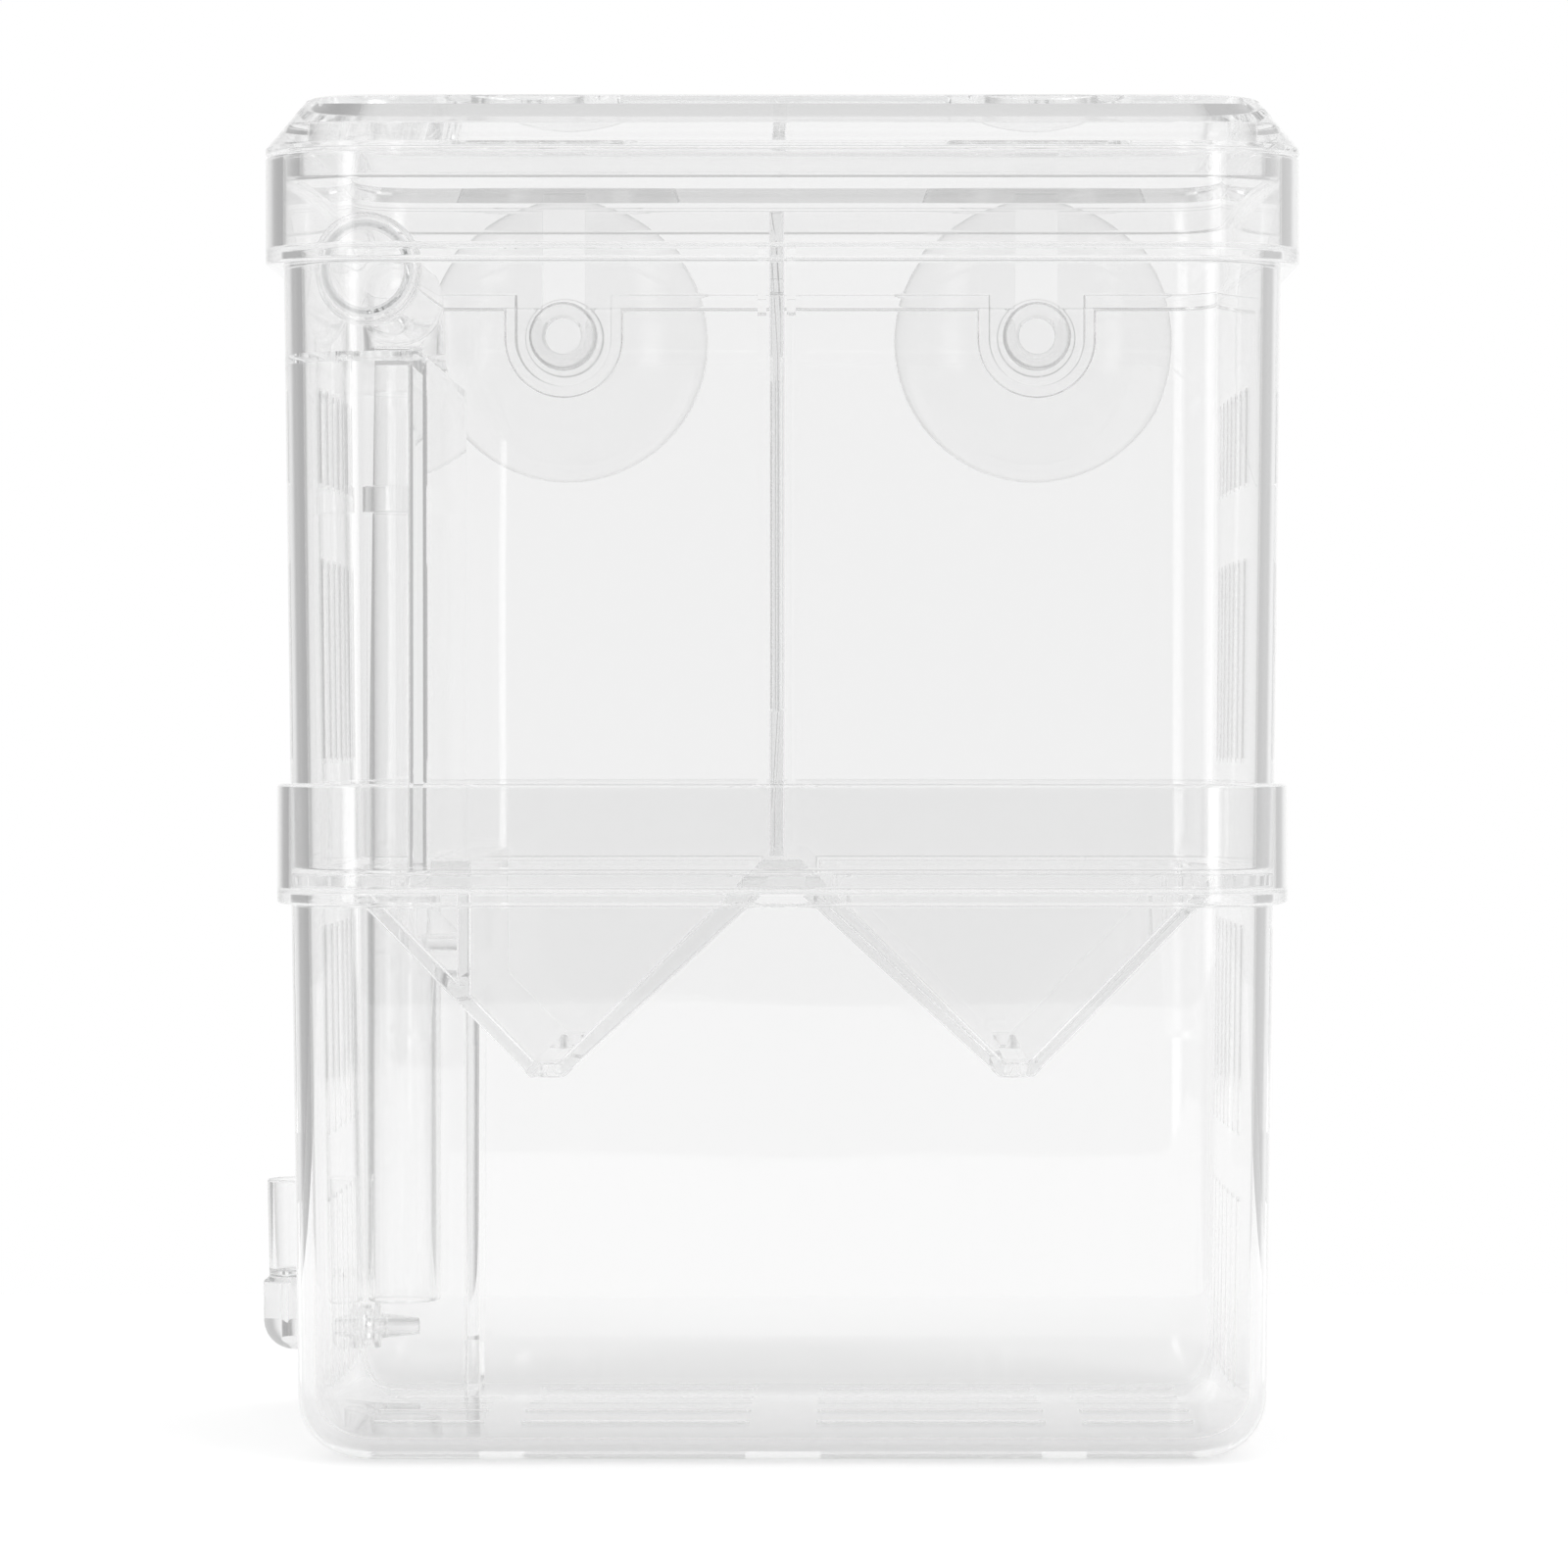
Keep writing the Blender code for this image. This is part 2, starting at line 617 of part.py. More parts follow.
def hopper_end_walls():
    """Flat walls that close the front and back ends of both hoppers."""
    half_foot = hopper_lines()[0]
    walls = []
    for side in (-1, 1):
        outline = [
            (side * RIDGE_WIDTH / 2, TRAY_TOP_Z),
            (side * (HOPPER_X - half_foot), HOPPER_BOTTOM_Z),
            (side * (HOPPER_X + half_foot), HOPPER_BOTTOM_Z),
            (side * HOPPER_TOP_X, TRAY_TOP_Z),
        ]
        for end in (-1, 1):
            near = min(end * HOPPER_REACH_Y, end * (HOPPER_REACH_Y - HOPPER_END_WALL))
            walls.append(prism(outline, near, near + HOPPER_END_WALL, "y"))
    return walls


def build_hopper_tray():
    """Drop-in tray between the two boxes."""
    plate = prism(box_outline(FOOT_INSET), TRAY_Z, TRAY_TOP_Z, "z")
    tray = new_object("hopper_tray", *plate)
    opening_y = HOPPER_REACH_Y - TRAY_LEDGE / 2
    opening_x = HOPPER_TOP_X - TRAY_WALL
    low = TRAY_Z - OVERRUN
    high = TRAY_TOP_Z + OVERRUN
    right = block(-CHANNEL_WALL_X, opening_x, -opening_y, opening_y, low, high)
    left = block(
        -opening_x,
        OVERRUN / 2 - CHANNEL_WALL_X,
        -opening_y,
        CHAMBER_Y - SLIDE_GAP,
        low - OVERRUN,
        high + OVERRUN,
    )
    apply_shape(tray, guide("hopper_tray_well", *right), "DIFFERENCE")
    apply_shape(tray, guide("hopper_tray_side_well", *left), "DIFFERENCE")
    section = prism(hopper_profile(), -HOPPER_REACH_Y, HOPPER_REACH_Y, "y")
    hoppers = guide("hopper_tray_hoppers", *section)
    apply_shape(hoppers, guide("hopper_tray_end_walls", *merge(hopper_end_walls())), "UNION")
    room = block(
        -BOX_WIDTH / 2,
        CHAMBER_X + SLIDE_GAP,
        CHAMBER_Y - SLIDE_GAP,
        BOX_DEPTH / 2,
        -OVERRUN,
        TRAY_Z,
    )
    apply_shape(hoppers, guide("hopper_tray_chamber_room", *room), "DIFFERENCE")
    apply_shape(tray, hoppers, "UNION")

    riser_hole = RISER_DIAMETER / 2 + SLIDE_GAP
    hole = lathe(
        [(0, HOPPER_BOTTOM_Z), (riser_hole, HOPPER_BOTTOM_Z), (riser_hole, LOWER_HEIGHT), (0, LOWER_HEIGHT)],
        TUBE_STEPS,
        "z",
        (RISER_X, RISER_Y, 0),
    )
    slot_length = 2 * (HOPPER_REACH_Y - HOPPER_SLOT_MARGIN)
    outline = [(x, y) for y, x in reversed(stadium(slot_length, HOPPER_SLOT_WIDTH))]
    low = HOPPER_BOTTOM_Z - OVERRUN
    high = HOPPER_BOTTOM_Z + TRAY_WALL + OVERRUN
    slots = [prism([(side * HOPPER_X + x, y) for x, y in outline], low, high, "z") for side in (-1, 1)]
    cuts = guide("hopper_tray_openings", *merge([hole, *slots]))
    apply_shape(tray, cuts, "DIFFERENCE")


def arch_outline(width, top_z, centre_z):
    """A U in the XZ plane about X zero, open side up, closed at top_z."""
    points = [(-width / 2, top_z)]
    for step in range(2 * CORNER_STEPS + 1):
        angle = math.radians(180 + 180 * step / (2 * CORNER_STEPS))
        points.append((width / 2 * math.cos(angle), centre_z + width / 2 * math.sin(angle)))
    points.append((width / 2, top_z))
    return points


def build_upper_box():
    """Bottomless tapering box with the collar, side channel, divider ribs and cup pockets."""
    foot_in = FOOT_INSET + WALL
    top_in = UPPER_COLLAR_STEP + WALL
    sections = [
        (FOOT_INSET, UPPER_FOOT_Z),
        (UPPER_COLLAR_STEP, UPPER_FLANGE_Z),
        (RIM_ROUND, UPPER_FLANGE_Z),
        (0, UPPER_FLANGE_Z + RIM_ROUND),
        (0, RIM_Z),
        (COLLAR_WALL, RIM_Z),
        (COLLAR_WALL, UPPER_SHELF_Z),
        (top_in, UPPER_SHELF_Z),
        (foot_in, UPPER_FOOT_Z),
    ]
    box = new_object("upper_box", *ring_stack(sections, True))

    mid_foot = FOOT_INSET + WALL / 2
    mid_top = UPPER_COLLAR_STEP + WALL / 2
    bounds = guide(
        "upper_box_core",
        *ring_stack([(mid_foot, UPPER_FOOT_Z), (mid_top, UPPER_SHELF_Z)], False),
    )
    partition = [
        (-CHANNEL_WALL_X, UPPER_FOOT_Z - OVERRUN),
        (-CHANNEL_WALL_X, CHANNEL_TOP_Z),
        (-BOX_WIDTH / 2, CHANNEL_TOP_Z),
        (-BOX_WIDTH / 2, CHANNEL_TOP_Z - CHANNEL_CAP),
        (-CHANNEL_WALL_X - WALL, CHANNEL_TOP_Z - CHANNEL_CAP),
        (-CHANNEL_WALL_X - WALL, UPPER_FOOT_Z - OVERRUN),
    ]
    reach_y = BOX_DEPTH / 2
    channel = guide("upper_box_channel", *prism(list(reversed(partition)), -reach_y, reach_y, "y"))
    apply_shape(channel, bounds, "INTERSECT")
    apply_shape(box, channel, "UNION")

    half_slot = DIVIDER_THICKNESS / 2 + SLIDE_GAP
    ribs = []
    for side in (-1, 1):
        inner = BOX_DEPTH / 2 - foot_in - GROOVE_RIB_DEPTH
        low = min(side * inner, side * BOX_DEPTH / 2)
        high = max(side * inner, side * BOX_DEPTH / 2)
        for edge in (-1, 1):
            near = -DIVIDER_OFFSET + edge * half_slot
            far = near + edge * GROOVE_RIB
            ribs.append(block(min(near, far), max(near, far), low, high, DIVIDER_FOOT_Z, DIVIDER_TOP_Z))
    rib_guide = guide("upper_box_ribs", *merge(ribs))
    rib_bounds = guide(
        "upper_box_rib_core",
        *ring_stack([(mid_foot, UPPER_FOOT_Z + SEAT_GAP / 2), (mid_top, UPPER_SHELF_Z - SEAT_GAP)], False),
    )
    apply_shape(rib_guide, rib_bounds, "INTERSECT")
    apply_shape(box, rib_guide, "UNION")

    back = BOX_DEPTH / 2
    pocket_arc = CUP_Z - POCKET_BOTTOM_DROP + POCKET_WIDTH / 2
    pockets = []
    recesses = []
    keyholes = []
    for side in (-1, 1):
        x = side * CUP_X + CUP_OFFSET
        shift = Matrix.Translation((x, 0, 0))
        pocket = arch_outline(POCKET_WIDTH, UPPER_FLANGE_Z + SEAT_GAP, pocket_arc)
        recess = arch_outline(POCKET_RECESS_WIDTH, UPPER_SHELF_Z + OVERRUN, pocket_arc)
        keyhole = arch_outline(KEYHOLE_WIDTH, RIM_Z + OVERRUN, CUP_Z)
        pocket_front = back - UPPER_COLLAR_STEP - UPPER_DRAFT - WALL / 2
        pockets.append(place(prism(pocket, pocket_front, back, "y"), shift))
        recess_front = back - UPPER_COLLAR_STEP - UPPER_DRAFT - WALL - OVERRUN
        recesses.append(place(prism(recess, recess_front, back - COLLAR_WALL, "y"), shift))
        keyholes.append(place(prism(keyhole, recess_front - OVERRUN, back + OVERRUN, "y"), shift))
    pocket_guide = guide("upper_box_pockets", *merge(pockets))
    recess_guide = guide("upper_box_recesses", *merge(recesses))
    keyhole_guide = guide("upper_box_keyholes", *merge(keyholes))
    apply_shape(box, pocket_guide, "UNION")
    apply_shape(box, recess_guide, "DIFFERENCE")
    apply_shape(box, keyhole_guide, "DIFFERENCE")

    riser_hole = RISER_DIAMETER / 2 + SLIDE_GAP
    hole = lathe(
        [
            (0, CHANNEL_TOP_Z - CHANNEL_CAP - OVERRUN),
            (riser_hole, CHANNEL_TOP_Z - CHANNEL_CAP - OVERRUN),
            (riser_hole, CHANNEL_TOP_Z + OVERRUN),
            (0, CHANNEL_TOP_Z + OVERRUN),
        ],
        TUBE_STEPS,
        "z",
        (RISER_X, RISER_Y, 0),
    )
    slot_top = CHANNEL_TOP_Z - CHANNEL_CAP - UPPER_SLOT_DROP
    bands = two_bands(LOWER_HEIGHT + UPPER_SLOT_RISE, slot_top, UPPER_SLOT_BRIDGE, UPPER_BAND_SHARE)
    slots = side_slots(bands, BOX_WIDTH / 2 - UPPER_COLLAR_STEP + OVERRUN)
    cuts = guide("upper_box_openings", *merge([hole, *slots]))
    apply_shape(box, cuts, "DIFFERENCE")


def build_divider():
    """Lift-out partition with thin edges between its thicker end tabs."""
    half = BOX_DEPTH / 2 - FOOT_INSET - WALL - SLIDE_GAP
    slim = (DIVIDER_THICKNESS - DIVIDER_EDGE_THICKNESS) / 2
    inner = half - DIVIDER_EDGE_WIDTH
    low = DIVIDER_FOOT_Z + DIVIDER_TAB_HEIGHT
    high = DIVIDER_TOP_Z - DIVIDER_TAB_HEIGHT
    left = -DIVIDER_OFFSET - DIVIDER_THICKNESS / 2
    right = -DIVIDER_OFFSET + DIVIDER_THICKNESS / 2
    plate = new_object("divider", *block(left, right, -half, half, DIVIDER_FOOT_Z, DIVIDER_TOP_Z))
    rebates = []
    for side in (-1, 1):
        low_y = min(side * inner, side * (half + OVERRUN))
        high_y = max(side * inner, side * (half + OVERRUN))
        rebates.append(block(left - OVERRUN, left + slim, low_y, high_y, low, high))
        rebates.append(block(right - slim, right + OVERRUN, low_y, high_y, low, high))
    apply_shape(plate, guide("divider_rebates", *merge(rebates)), "DIFFERENCE")


def build_lid():
    """Chamfered lid with a lip inside the collar and two feed holes."""
    lip_out = COLLAR_WALL + SLIDE_GAP
    lip_in = lip_out + LID_LIP_WALL
    sections = [
        (lip_in, LID_Z - LID_LIP_DEPTH),
        (lip_out, LID_Z - LID_LIP_DEPTH),
        (lip_out, LID_Z),
        (0, LID_Z),
        (0, LID_Z + LID_RIM),
        (LID_CHAMFER_WIDTH, LID_TOP_Z - RIM_ROUND),
        (LID_CHAMFER_WIDTH + RIM_ROUND, LID_TOP_Z),
    ]
    under = [
        (LID_CHAMFER_WIDTH + LID_PLATE, LID_TOP_Z - LID_PLATE),
        (lip_in, LID_Z + LID_RIM + LID_PLATE),
    ]
    outside = ring_stack(sections + under, False)
    count = len(box_outline(0))
    verts, faces = outside
    faces = faces[:-2]
    top = (len(sections) - 1) * count
    ceiling = len(sections) * count
    last = (len(sections) + len(under) - 1) * count
    seam = set(range(top, ceiling + count))
    faces = [f for f in faces if not set(f) <= seam]
    faces.append(tuple(range(top, top + count)))
    faces.append(tuple(reversed(range(ceiling, ceiling + count))))
    for i in range(count):
        j = (i + 1) % count
        faces.append((last + i, last + j, j, i))
    lid = new_object("lid", verts, faces)
    radius = FEED_HOLE_DIAMETER / 2
    holes = []
    for side in (-1, 1):
        profile = [(0, LID_Z), (radius, LID_Z), (radius, LID_TOP_Z + OVERRUN), (0, LID_TOP_Z + OVERRUN)]
        holes.append(lathe(profile, CUP_STEPS, "z", (side * FEED_HOLE_X, 0, 0)))
    apply_shape(lid, guide("lid_feed_holes", *merge(holes)), "DIFFERENCE")


def pipe(outer, inner, low, high):
    """Profile of a plain ring for the lathe, going up its outer side."""
    return [(inner, low), (outer, low), (outer, high), (inner, high)]


def build_riser():
    """Riser tube, its coupling sleeve, the outlet elbow with its spout, and the mouth ring."""
    outer = RISER_DIAMETER / 2
    inner = outer - TUBE_WALL
    axis = (RISER_X, RISER_Y, 0)
    new_object("riser_tube", *lathe(pipe(outer, inner, RISER_FOOT_Z, RISER_TOP_Z), TUBE_STEPS, "z", axis))
    sleeve = outer + SEAT_GAP
    low = COUPLING_Z
    band = pipe(sleeve + COUPLING_WALL, sleeve, low, low + COUPLING_HEIGHT)
    new_object("riser_coupling", *lathe(band, TUBE_STEPS, "z", axis))

    spout_outer = SPOUT_DIAMETER / 2
    spout_inner = spout_outer - TUBE_WALL
    socket_in = outer + SLIDE_GAP
    socket_out = socket_in + ELBOW_SOCKET_WALL
    up = (0, 0, 1)
    stations = [
        ((RISER_X, RISER_Y, CHANNEL_TOP_Z + SEAT_GAP), up, socket_out, socket_in),
        ((RISER_X, RISER_Y, ELBOW_SEAT_Z), up, socket_out, socket_in),
        ((RISER_X, RISER_Y, ELBOW_SEAT_Z + TUBE_WALL), up, spout_outer, spout_inner),
    ]
    for step in range(BEND_STEPS + 1):
        angle = math.radians(90) * step / BEND_STEPS
        y = RISER_Y - ELBOW_RADIUS * (1 - math.cos(angle))
        z = ELBOW_BEND_Z + ELBOW_RADIUS * math.sin(angle)
        stations.append(((RISER_X, y, z), (0, -math.sin(angle), math.cos(angle)), spout_outer, spout_inner))
    mouth_y = SPOUT_FRONT - BOX_DEPTH / 2
    stations.append(((RISER_X, mouth_y, SPOUT_Z), (0, -1, 0), spout_outer, spout_inner))
    new_object("outlet_elbow", *tube_sweep(stations, TUBE_STEPS))

    ring_in = spout_outer + SEAT_GAP
    ring = pipe(SPOUT_RING_DIAMETER / 2, ring_in, mouth_y, mouth_y + SPOUT_RING_LENGTH)
    new_object("spout_ring", *lathe(ring, TUBE_STEPS, "y", (RISER_X, 0, SPOUT_Z)))


def build_air_inlet():
    """Swivelling hose elbow outside the left wall, with the jet pin that reaches inside."""
    body = AIR_BODY_DIAMETER / 2
    bore = AIR_BORE / 2
    pin = AIR_PIN_DIAMETER / 2
    near_x = END_WALL_X - SEAT_GAP
    wall_in = END_WALL_X + LOWER_WALL
    base = AIR_Z - AIR_BODY_DROP
    socket_low = AIR_Z + AIR_SHOULDER_RISE
    socket_top = AIR_Z + AIR_SOCKET_TOP_RISE
    radius = AIR_SOCKET_DIAMETER / 2
    upright_axis = (AIR_AXIS_X, RISER_Y, 0)
    outside = [(0, base)]
    for step in range(FILLET_STEPS + 1):
        angle = math.radians(90) * step / FILLET_STEPS
        out = body - AIR_BODY_ROUND * (1 - math.sin(angle))
        outside.append((out, base + AIR_BODY_ROUND * (1 - math.cos(angle))))
    outside += [
        (body, socket_low - RIM_ROUND),
        (radius, socket_low),
        (radius + AIR_SOCKET_FLARE, socket_top),
        (radius + AIR_SOCKET_FLARE - AIR_SOCKET_WALL, socket_top),
        (radius - AIR_SOCKET_WALL, socket_low + AIR_SOCKET_WALL),
        (0, socket_low + AIR_SOCKET_WALL),
    ]
    elbow = new_object("air_elbow", *lathe(outside, TUBE_STEPS, "z", upright_axis, 1 / 2))
    neck = AIR_NECK_DIAMETER / 2
    swivel = [
        (0, AIR_AXIS_X),
        (neck, AIR_AXIS_X),
        (neck, near_x),
        (pin, near_x),
        (pin, wall_in),
        (0, wall_in),
    ]
    swivel_guide = guide("air_elbow_swivel", *lathe(swivel, TUBE_STEPS, "x", (0, RISER_Y, AIR_Z)))
    apply_shape(elbow, swivel_guide, "UNION")
    across = [
        (0, AIR_AXIS_X),
        (bore, AIR_AXIS_X),
        (bore, wall_in + OVERRUN),
        (0, wall_in + OVERRUN),
    ]
    socket_bore = AIR_SOCKET_BORE / 2
    upright = [(0, AIR_Z - bore), (socket_bore, AIR_Z - bore), (socket_bore, socket_top), (0, socket_top)]
    across_bore = guide("air_elbow_across_bore", *lathe(across, TUBE_STEPS, "x", (0, RISER_Y, AIR_Z)))
    upright_bore = guide("air_elbow_upright_bore", *lathe(upright, TUBE_STEPS, "z", upright_axis, 1 / 2))
    apply_shape(elbow, across_bore, "DIFFERENCE")
    apply_shape(elbow, upright_bore, "DIFFERENCE")

    boss_x = wall_in + AIR_BOSS_LENGTH
    head = AIR_BOSS_DIAMETER / 2
    tip_x = RISER_X + AIR_JET_OVERLAP
    jet = [
        (bore, wall_in + SEAT_GAP),
        (pin, wall_in + SEAT_GAP),
        (pin, boss_x + SEAT_GAP),
        (head, boss_x + SEAT_GAP),
        (head, boss_x + SEAT_GAP + AIR_BOSS_LENGTH),
        (AIR_NOZZLE_DIAMETER / 2, boss_x + SEAT_GAP + AIR_BOSS_LENGTH),
        (bore + AIR_TIP_WALL, tip_x),
        (bore, tip_x),
    ]
    new_object("air_jet", *lathe(jet, TUBE_STEPS, "x", (0, RISER_Y, AIR_Z)))


def build_suction_cups():
    """Two soft cups whose necks hang in the keyholes of the back pockets."""
    back = BOX_DEPTH / 2
    radius = CUP_DIAMETER / 2
    start = back + SEAT_GAP
    end = start + CUP_DEPTH
    head_back = back - COLLAR_WALL - SEAT_GAP
    stem = CUP_STEM_DIAMETER / 2
    neck = CUP_NECK_DIAMETER / 2
    skirt_rise = CUP_DEPTH - RIM_ROUND
    outside = []
    inside = []
    for step in range(1, SKIRT_STEPS + 1):
        angle = math.radians(90) * step / SKIRT_STEPS
        along = start + CUP_SKIN + (skirt_rise - CUP_SKIN) * (1 - math.cos(angle))
        outside.append((stem + (radius - stem) * math.sin(angle), along))
    for step in reversed(range(1, SKIRT_STEPS + 1)):
        angle = math.radians(90) * step / SKIRT_STEPS
        along = start + CUP_SKIN * 2 + (CUP_DEPTH - CUP_SKIN * 2) * (1 - math.cos(angle))
        inside.append(((radius - CUP_SKIN / 2) * math.sin(angle), along))
    profile = [
        (0, head_back - CUP_HEAD_LENGTH),
        (CUP_HEAD_DIAMETER / 2 - RIM_ROUND, head_back - CUP_HEAD_LENGTH),
        (CUP_HEAD_DIAMETER / 2, head_back - CUP_HEAD_LENGTH + RIM_ROUND),
        (CUP_HEAD_DIAMETER / 2, head_back),
        (neck, head_back),
        (neck, start),
        (stem, start),
        (stem, start + CUP_SKIN),
        *outside,
        (radius, end),
        *inside,
        (0, start + CUP_SKIN * 2),
    ]
    for side, name in ((-1, "suction_cup_left"), (1, "suction_cup_right")):
        centre = (side * CUP_X + CUP_OFFSET, 0, CUP_Z)
        new_object(name, *lathe(profile, CUP_STEPS, "y", centre), (0.90, 0.92, 0.92), 0.25, 1.5)


def clear_scene():
    """Removes every object, so that only the box remains."""
    for obj in list(bpy.data.objects):
        bpy.data.objects.remove(obj, do_unlink=True)


def main():
    clear_scene()
    build_lower_box()
    build_hopper_tray()
    build_upper_box()
    build_divider()
    build_lid()
    build_riser()
    build_air_inlet()
    build_suction_cups()


main()
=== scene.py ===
"""Looks of the clear breeding box: polished walls, soft cups and a white light table.

Every piece is modelled again over its solid, with finer curves and the small rounded edges
that catch the light. Metres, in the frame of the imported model.
"""

import math

import bmesh
import bpy
from mathutils import Matrix, Vector


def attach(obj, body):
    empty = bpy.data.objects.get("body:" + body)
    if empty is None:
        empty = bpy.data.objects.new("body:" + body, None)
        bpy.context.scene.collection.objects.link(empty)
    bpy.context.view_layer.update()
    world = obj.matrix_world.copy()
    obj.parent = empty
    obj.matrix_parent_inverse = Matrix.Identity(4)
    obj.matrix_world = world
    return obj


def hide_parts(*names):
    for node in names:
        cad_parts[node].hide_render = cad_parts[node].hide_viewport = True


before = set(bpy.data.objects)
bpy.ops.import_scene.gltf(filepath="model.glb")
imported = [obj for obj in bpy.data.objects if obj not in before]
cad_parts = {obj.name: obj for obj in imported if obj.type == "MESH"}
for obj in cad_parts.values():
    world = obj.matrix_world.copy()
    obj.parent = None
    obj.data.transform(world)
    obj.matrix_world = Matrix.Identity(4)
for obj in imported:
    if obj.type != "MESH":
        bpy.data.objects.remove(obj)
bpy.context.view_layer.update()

# Whole box, over the upper collar and the lid
BOX_WIDTH = 0.1074
BOX_DEPTH = 0.0800
CORNER_RADIUS = 0.0120
WALL = 0.0018
SEAT_GAP = 0.0003
SLIDE_GAP = 0.0003
OVERRUN = 0.0020
EDGE_ROUND = 0.00030
RIM_ROUND = 0.00045

# Lower box
LOWER_HEIGHT = 0.0700
LOWER_COLLAR_HEIGHT = 0.0111
LOWER_COLLAR_WALL = 0.0012
LOWER_WALL = 0.0017
LOWER_DRAFT = 0.0008
FLOOR_THICKNESS = 0.0020
FOOT_FILLET = 0.0065
FLANGE_THICKNESS = 0.0014

# Upper box
UPPER_HEIGHT = 0.0737
UPPER_COLLAR_HEIGHT = 0.0112
UPPER_COLLAR_STEP = 0.0019
UPPER_DRAFT = 0.0008
SHELF_THICKNESS = 0.0016

# Water slots
SLOT_WIDTH = 0.0011
SIDE_SLOT_COUNT = 7
SIDE_SLOT_MARGIN = 0.0220
LOWER_SLOT_BOTTOM = 0.0062
LOWER_SLOT_DROP = 0.0025
LOWER_SLOT_BRIDGE = 0.0064
LOWER_BAND_SHARE = 0.476
UPPER_SLOT_RISE = 0.0020
UPPER_SLOT_DROP = 0.0009
UPPER_SLOT_BRIDGE = 0.0074
UPPER_BAND_SHARE = 0.671
FLOOR_SLOT_ROWS = 6
FLOOR_SLOT_END = 0.0075
FLOOR_SLOT_MARGIN = 0.0006
FLOOR_SLOT_INNER = 0.0035
FLOOR_SLOT_BRIDGE = 0.0038
FLOOR_LONG_SLOT_SHARE = 0.67

# Hopper tray
TRAY_PLATE = 0.0016
TRAY_WALL = 0.0015
TRAY_LEDGE = 0.0025
HOPPER_DEPTH = 0.0210
HOPPER_SIDE_LEDGE = 0.0075
HOPPER_CENTRE_SHARE = 0.522
HOPPER_FOOT_WIDTH = 0.0035
HOPPER_SLOT_WIDTH = 0.0024
HOPPER_SLOT_MARGIN = 0.0080
HOPPER_END_WALL = 0.0012
HOPPER_END_SETBACK = 0.00025
HOPPER_SINK = 0.0001
RIDGE_HEIGHT = 0.0015
RIDGE_WIDTH = 0.0038
TRAY_RAIL_WIDTH = 0.0045
TRAY_RAIL_HEIGHT = 0.0014

# Side channel and divider
CHANNEL_WIDTH = 0.0173
CHANNEL_DROP = 0.0204
CHANNEL_CAP = 0.0019
CHANNEL_FILLET = 0.0005
CHANNEL_SLIM = 0.0004
CHANNEL_ROOF = 0.0010
COVE_MIDDLE_SHARE = 0.46
DIVIDER_OFFSET = 0.0005
DIVIDER_THICKNESS = 0.0015
DIVIDER_EDGE_THICKNESS = 0.0009
DIVIDER_DROP = 0.0060
DIVIDER_TAB_HEIGHT = 0.0150
DIVIDER_EDGE_WIDTH = 0.0030
GROOVE_RIB = 0.0009
GROOVE_RIB_DEPTH = 0.0014

# Lid
LID_PLATE = 0.0016
LID_HEIGHT = 0.0057
LID_CHAMFER_WIDTH = 0.0043
LID_RIM = 0.0006
LID_LIP_DEPTH = 0.0030
LID_LIP_WALL = 0.0014
FEED_HOLE_DIAMETER = 0.0198
FEED_HOLE_PLACE_SHARE = 0.254

# Riser tube, its chamber and the outlet elbow
RISER_SIDE = 0.00995
RISER_BACK = 0.0118
RISER_DIAMETER = 0.0092
TUBE_WALL = 0.0010
RISER_FOOT_RISE = 0.0029
COUPLING_HEIGHT = 0.0030
COUPLING_DROP = 0.0144
COUPLING_WALL = 0.0004
SPOUT_RISE = 0.0094
SPOUT_DIAMETER = 0.0102
SPOUT_FRONT = 0.0166
ELBOW_RADIUS = 0.0066
ELBOW_SOCKET_WALL = 0.0005
SPOUT_RING_DIAMETER = 0.0119
SPOUT_RING_LENGTH = 0.0030
CHAMBER_WIDTH = 0.0192
CHAMBER_DEPTH = 0.0190
CHAMBER_WALL = 0.0015
CHAMBER_CORNER = 0.0019
CHAMBER_TOP_DROP = 0.0012
CHAMBER_INLET_WIDTH = 0.0070
CHAMBER_INLET_HEIGHT = 0.0050

# Air inlet
AIR_Z = 0.0085
AIR_BORE = 0.0012
AIR_SOCKET_BORE = 0.0030
AIR_BOSS_DIAMETER = 0.0050
AIR_BOSS_LENGTH = 0.0012
AIR_PIN_DIAMETER = 0.0034
AIR_NOZZLE_DIAMETER = 0.0028
AIR_TIP_WALL = 0.0003
AIR_JET_OVERLAP = 0.0022
AIR_BODY_DIAMETER = 0.0084
AIR_BODY_DROP = 0.0027
AIR_BODY_ROUND = 0.0034
AIR_NECK_DIAMETER = 0.0052
AIR_REACH = 0.0048
AIR_SHOULDER_RISE = 0.0055
AIR_SOCKET_DIAMETER = 0.0071
AIR_SOCKET_FLARE = 0.00025
AIR_SOCKET_WALL = 0.0007
AIR_SOCKET_TOP_RISE = 0.0165

# Suction cups and their pockets
CUP_PLACE_SHARE = 0.2514
CUP_OFFSET = 0.0012
CUP_DROP = 0.0143
CUP_DIAMETER = 0.0325
CUP_DEPTH = 0.0088
CUP_SKIN = 0.0014
CUP_NECK_DIAMETER = 0.0043
CUP_HEAD_DIAMETER = 0.0078
CUP_HEAD_LENGTH = 0.0020
CUP_STEM_DIAMETER = 0.0090
CUP_GROOVE_SHARE = 0.62
CUP_CENTRE_SHARE = 0.1
POCKET_WIDTH = 0.0135
POCKET_BOTTOM_DROP = 0.0070
POCKET_RECESS_WIDTH = 0.0110
POCKET_ROUND = 0.0004
KEYHOLE_WIDTH = 0.0049

